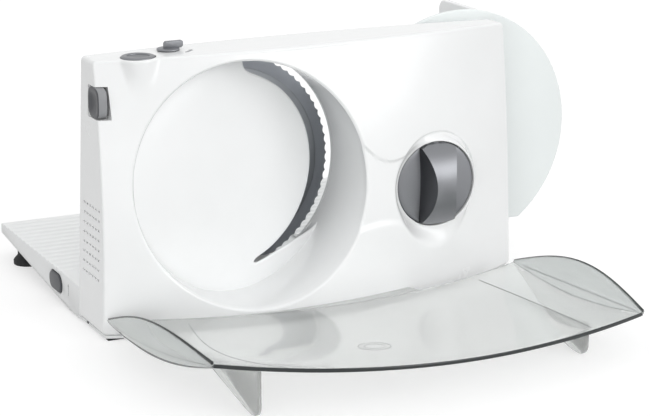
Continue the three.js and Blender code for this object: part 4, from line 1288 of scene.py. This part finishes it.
def tray_fin(name, x, front_y):
    tip = FIN_TIP
    back_y = front_y + FIN_LONG
    outline = bend(front_y + tip, tip, tip, 180, 270)
    outline += [(front_y + 2 * tip, 0.5), (front_y + 3 * tip, 2), (back_y, FIN_BACK_Z)]
    s = (x - TRAY_X) / TRAY_HALF
    back, front = tray_ends(s)
    for y in spread(back_y, front_y, 4) + [front_y]:
        t = clamp((y - back) / (front - back))
        outline.append((y, tray_point(s, t)[2] - TRAY_SHEET - FIN_GAP))
    bevel(prism(name, outline, "X", x - FIN_HALF, x + FIN_HALF, *tray_finish), 0.5, 2)


# Table and sled
def ridge_profile(level, front):
    points = []
    y = TABLE_REAR - RIDGE_PITCH
    while y > front + RIDGE_PITCH:
        for k in range(7):
            share = -1 + 2 * k / 6
            points.append((y - RIDGE_HALF * share, level + RIDGE * (1 - share * share)))
        y -= RIDGE_PITCH
    return points


def table():
    finish = ("housing", white_satin, ["table_base"], "white_satin")
    outline = [(REAR_GAP, TABLE_LOW), (TABLE_BEND, TABLE_LOW)]
    outline += [(TABLE_REAR, TABLE_BACK_LOW), (TABLE_REAR, TABLE_TOP)]
    outline += ridge_profile(TABLE_TOP, SLED_FRONT)
    outline.append((REAR_GAP, TABLE_TOP))
    made = prism("table_pan", outline, "X", -TABLE_HALF, TABLE_HALF, *finish)
    below = -5
    chord = math.sqrt(BLADE_R**2 - (BLADE_Z - TABLE_TOP - 2) ** 2) + BLADE_SLOT_GAP
    cut(made, *box_shape(BLADE_X - chord, BLADE_X + chord, *BLADE_SLOT, below, TABLE_TOP - below))
    front = REAR_GAP + TABLE_WALL
    rear = TABLE_REAR - TABLE_WALL
    top = TABLE_TOP - TABLE_WALL
    hollow = [(front, below), (TABLE_BEND, below), (rear, HOLLOW_LOW), (rear, top), (front, top)]
    cut(made, *prism_shape(hollow, "X", TABLE_WALL - TABLE_HALF, TABLE_HALF - TABLE_WALL))
    hole = capsule(RELEASE_Y, RELEASE_Z, RELEASE_LONG + 1, RELEASE_TALL + 1)
    cut(made, *prism_shape(hole, "X", -TABLE_HALF - 1, TABLE_WALL + 1 - TABLE_HALF))
    bevel(made, 0.7, 2, 50)
    reach = TABLE_HALF - 1
    outline = [(x, 1 - front_depth(x, BOTTOM)) for x in spread(-reach, reach, 4) + [reach]]
    outline += [(reach, FOOT_PLATE_REAR), (-reach, FOOT_PLATE_REAR)]
    plate = prism("foot_plate", outline, "Z", TABLE_LOW, BOTTOM - FOOT_PLATE_GAP, *finish)
    outlet = -TABLE_HALF + CORD_DEEP
    notch = (CORD_Y - CORD_HALF, CORD_Y + CORD_HALF)
    cut(plate, *box_shape(-TABLE_HALF, outlet + 1, *notch, TABLE_LOW - 1, BOTTOM))
    bevel(plate, 0.5, 2)
    # A dark plastic liner set in the cord notch: painted shade, making the notch's inside read black.
    outline = capsule(CORD_Y, (TABLE_LOW + BOTTOM) / 2, 2 * CORD_HALF - 0.2, BOTTOM - TABLE_LOW - 0.6, 6)
    bevel(prism("cord_outlet", outline, "X", outlet - 0.5, outlet + 0.8, "housing", dark_plastic), 0.2, 2)


def sled():
    deck_low = TABLE_TOP + RIDGE + SLED_GAP
    deck_top = deck_low + SLED_DECK
    inner = TABLE_REAR + SLED_GAP
    rear = TABLE_REAR + SLED_LIP
    outline = [(SLED_FRONT, deck_low), (inner, deck_low)]
    outline += [(inner, SLED_LIP_LOW), (rear, SLED_LIP_LOW), (rear, deck_top)]
    outline += ridge_profile(deck_top, SLED_FRONT)
    outline.append((SLED_FRONT, deck_top))
    finish = ("sled", white_satin, ["sled_deck"], "white_satin")
    bevel(prism("sled_plate", outline, "X", SLED_RIGHT - SLED_WIDE, SLED_RIGHT, *finish), 0.6, 2, 50)
    low = deck_top + RIDGE + SLED_WALL_GAP
    top = low + SLED_WALL_HIGH
    back = rear - 2
    guard = SLED_FRONT + GUARD_WIDE
    outline = [(SLED_FRONT, low), (back, low)]
    outline += bend(back - SLED_WALL_ROUND, top - SLED_WALL_ROUND, SLED_WALL_ROUND, 0, 90)
    outline += bend(guard + GUARD_BLEND, top + GUARD_BLEND, GUARD_BLEND, 270, 180)
    outline += bend(guard - GUARD_ROUND, GUARD_TOP - GUARD_ROUND, GUARD_ROUND, 0, 90)
    outline.append((SLED_FRONT, GUARD_TOP))
    right = SLED_RIGHT - 1
    finish = ("sled", white_gloss, ["sled_wall"], "white_gloss")
    bevel(prism("sled_guard", outline, "X", right - SLED_WALL_THICK, right, *finish), 1.2)


housing_skin()
outlet_floor()
outlet_passage()
blade_disc()
knob_disc()
grip_bar()
stop_plate()
power_button()
lock_lever()
interlock_button()
small_marks()
release_button()
slice_tray()
tray_edges()
tray_fin("tray_fin_left", FIN_LEFT, FIN_LEFT_FRONT)
tray_fin("tray_fin_right", FIN_RIGHT, FIN_RIGHT_FRONT)
tray_lip()
tray_mark()
table()
sled()

CAD_FINISH = (
    (white_satin, ["rear_cover", "interlock_cage"]),
    (dark_plastic, ["micro_switch", "cooling_fan"]),
    (black_rubber, ["front_foot_left", "front_foot_right", "rear_foot_left", "rear_foot_right"]),
    (gear_plastic, ["blade_bearing", "guide_bush_upper", "guide_bush_lower"]),
    (gear_plastic, ["worm_wheel", "idler_pinion", "blade_gear"]),
    (plain_steel, ["motor_case", "motor_bracket", "motor_shaft", "armature", "idler_shaft", "blade_screw"]),
    (plain_steel, ["thickness_spindle", "guide_rod_upper", "guide_rod_lower"]),
    (plain_steel, ["rear_screw_1", "rear_screw_2", "rear_screw_3", "rear_screw_4"]),
)
for finish, node_names in CAD_FINISH:
    for node_name in node_names:
        for node_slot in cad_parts[node_name].material_slots:
            node_slot.material = finish


# Stage
def combined(nodes, links, operation, first, second):
    node = nodes.new("ShaderNodeMath")
    node.operation = operation
    links.new(first, node.inputs[0])
    links.new(second, node.inputs[1])
    return node.outputs[0]


def seen_directly(nodes, links):
    """1 where the backdrop is seen by the camera, in a reflection or through the clear tray, else 0."""
    path = nodes.new("ShaderNodeLightPath")
    shown = path.outputs["Is Camera Ray"]
    for ray in ("Is Glossy Ray", "Is Transmission Ray"):
        shown = combined(nodes, links, "MAXIMUM", shown, path.outputs[ray])
    return shown


def stage_floor():
    """A white floor: it glows by as much as its colour darkens with the distance from the object."""
    mesh = bpy.data.meshes.new("floor")
    reach = 6.0
    corners = [(-reach, -reach, 0), (reach, -reach, 0), (reach, reach, 0), (-reach, reach, 0)]
    mesh.from_pydata(corners, [], [(0, 1, 2, 3)])
    floor = add_object("floor", mesh)
    made = bpy.data.materials.new("floor_white")
    made.use_nodes = True
    nodes = made.node_tree.nodes
    links = made.node_tree.links
    shader = nodes["Principled BSDF"]
    shader.inputs["Roughness"].default_value = 0.9
    shader.inputs["Specular IOR Level"].default_value = 0
    place = nodes.new("ShaderNodeTexCoord")
    distance = nodes.new("ShaderNodeVectorMath")
    distance.operation = "LENGTH"
    links.new(place.outputs["Object"], distance.inputs[0])
    near = 0.3
    far = 0.8
    tone = ranged(nodes, links, distance.outputs["Value"], 0.5, 0.12, near, far)
    links.new(tone, shader.inputs["Base Color"])
    rest = ranged(nodes, links, distance.outputs["Value"], 0.55, 0.93, near, far)
    glow = combined(nodes, links, "MULTIPLY", seen_directly(nodes, links), rest)
    shader.inputs["Emission Color"].default_value = (1, 1, 1, 1)
    links.new(glow, shader.inputs["Emission Strength"])
    mesh.materials.append(made)


def sky():
    """A white backdrop that lights the object a little more from above than from the sides."""
    world = bpy.data.worlds.new("studio")
    bpy.context.scene.world = world
    world.use_nodes = True
    nodes = world.node_tree.nodes
    links = world.node_tree.links
    back = nodes["Background"]
    back.inputs["Color"].default_value = (1, 1, 1, 1)
    place = nodes.new("ShaderNodeTexCoord")
    parts = nodes.new("ShaderNodeSeparateXYZ")
    links.new(place.outputs["Generated"], parts.inputs[0])
    level = ranged(nodes, links, parts.outputs["Z"], 0.5, 0.85, 0.0, 0.8)
    shown = combined(nodes, links, "MAXIMUM", level, seen_directly(nodes, links))
    links.new(shown, back.inputs["Strength"])


def aim(made, target):
    made.rotation_euler = (Vector(target) - made.location).to_track_quat("-Z", "Y").to_euler()


def lamp(name, place, width, height, watts, mirrored=True):
    """A soft rectangle of light aimed at the object; mirrored says whether glossy surfaces show it."""
    data = bpy.data.lights.new(name, "AREA")
    data.shape = "RECTANGLE"
    data.size = width
    data.size_y = height
    data.energy = watts
    made = add_object(name, data)
    made.location = place
    made.visible_glossy = mirrored
    aim(made, LAMP_AIM)


def camera():
    data = bpy.data.cameras.new("camera")
    data.lens = LENS
    data.sensor_width = SENSOR
    made = add_object("camera", data)
    made.location = at(*CAMERA_PLACE)
    aim(made, at(*CAMERA_AIM))
    bpy.context.scene.camera = made


stage_floor()
sky()
lamp("key", (1.1, -1.7, 1.0), 1.6, 1.2, 15.5)
lamp("fill", (-1.2, -1.8, 0.4), 1.4, 0.8, 14.5, mirrored=False)
lamp("top", (-0.2, 0.3, 1.8), 1.6, 1.2, 1)
lamp("back", (0.3, 1.9, 0.7), 1.6, 0.8, 9, mirrored=False)
camera()
bpy.context.scene.view_settings.view_transform = "Standard"
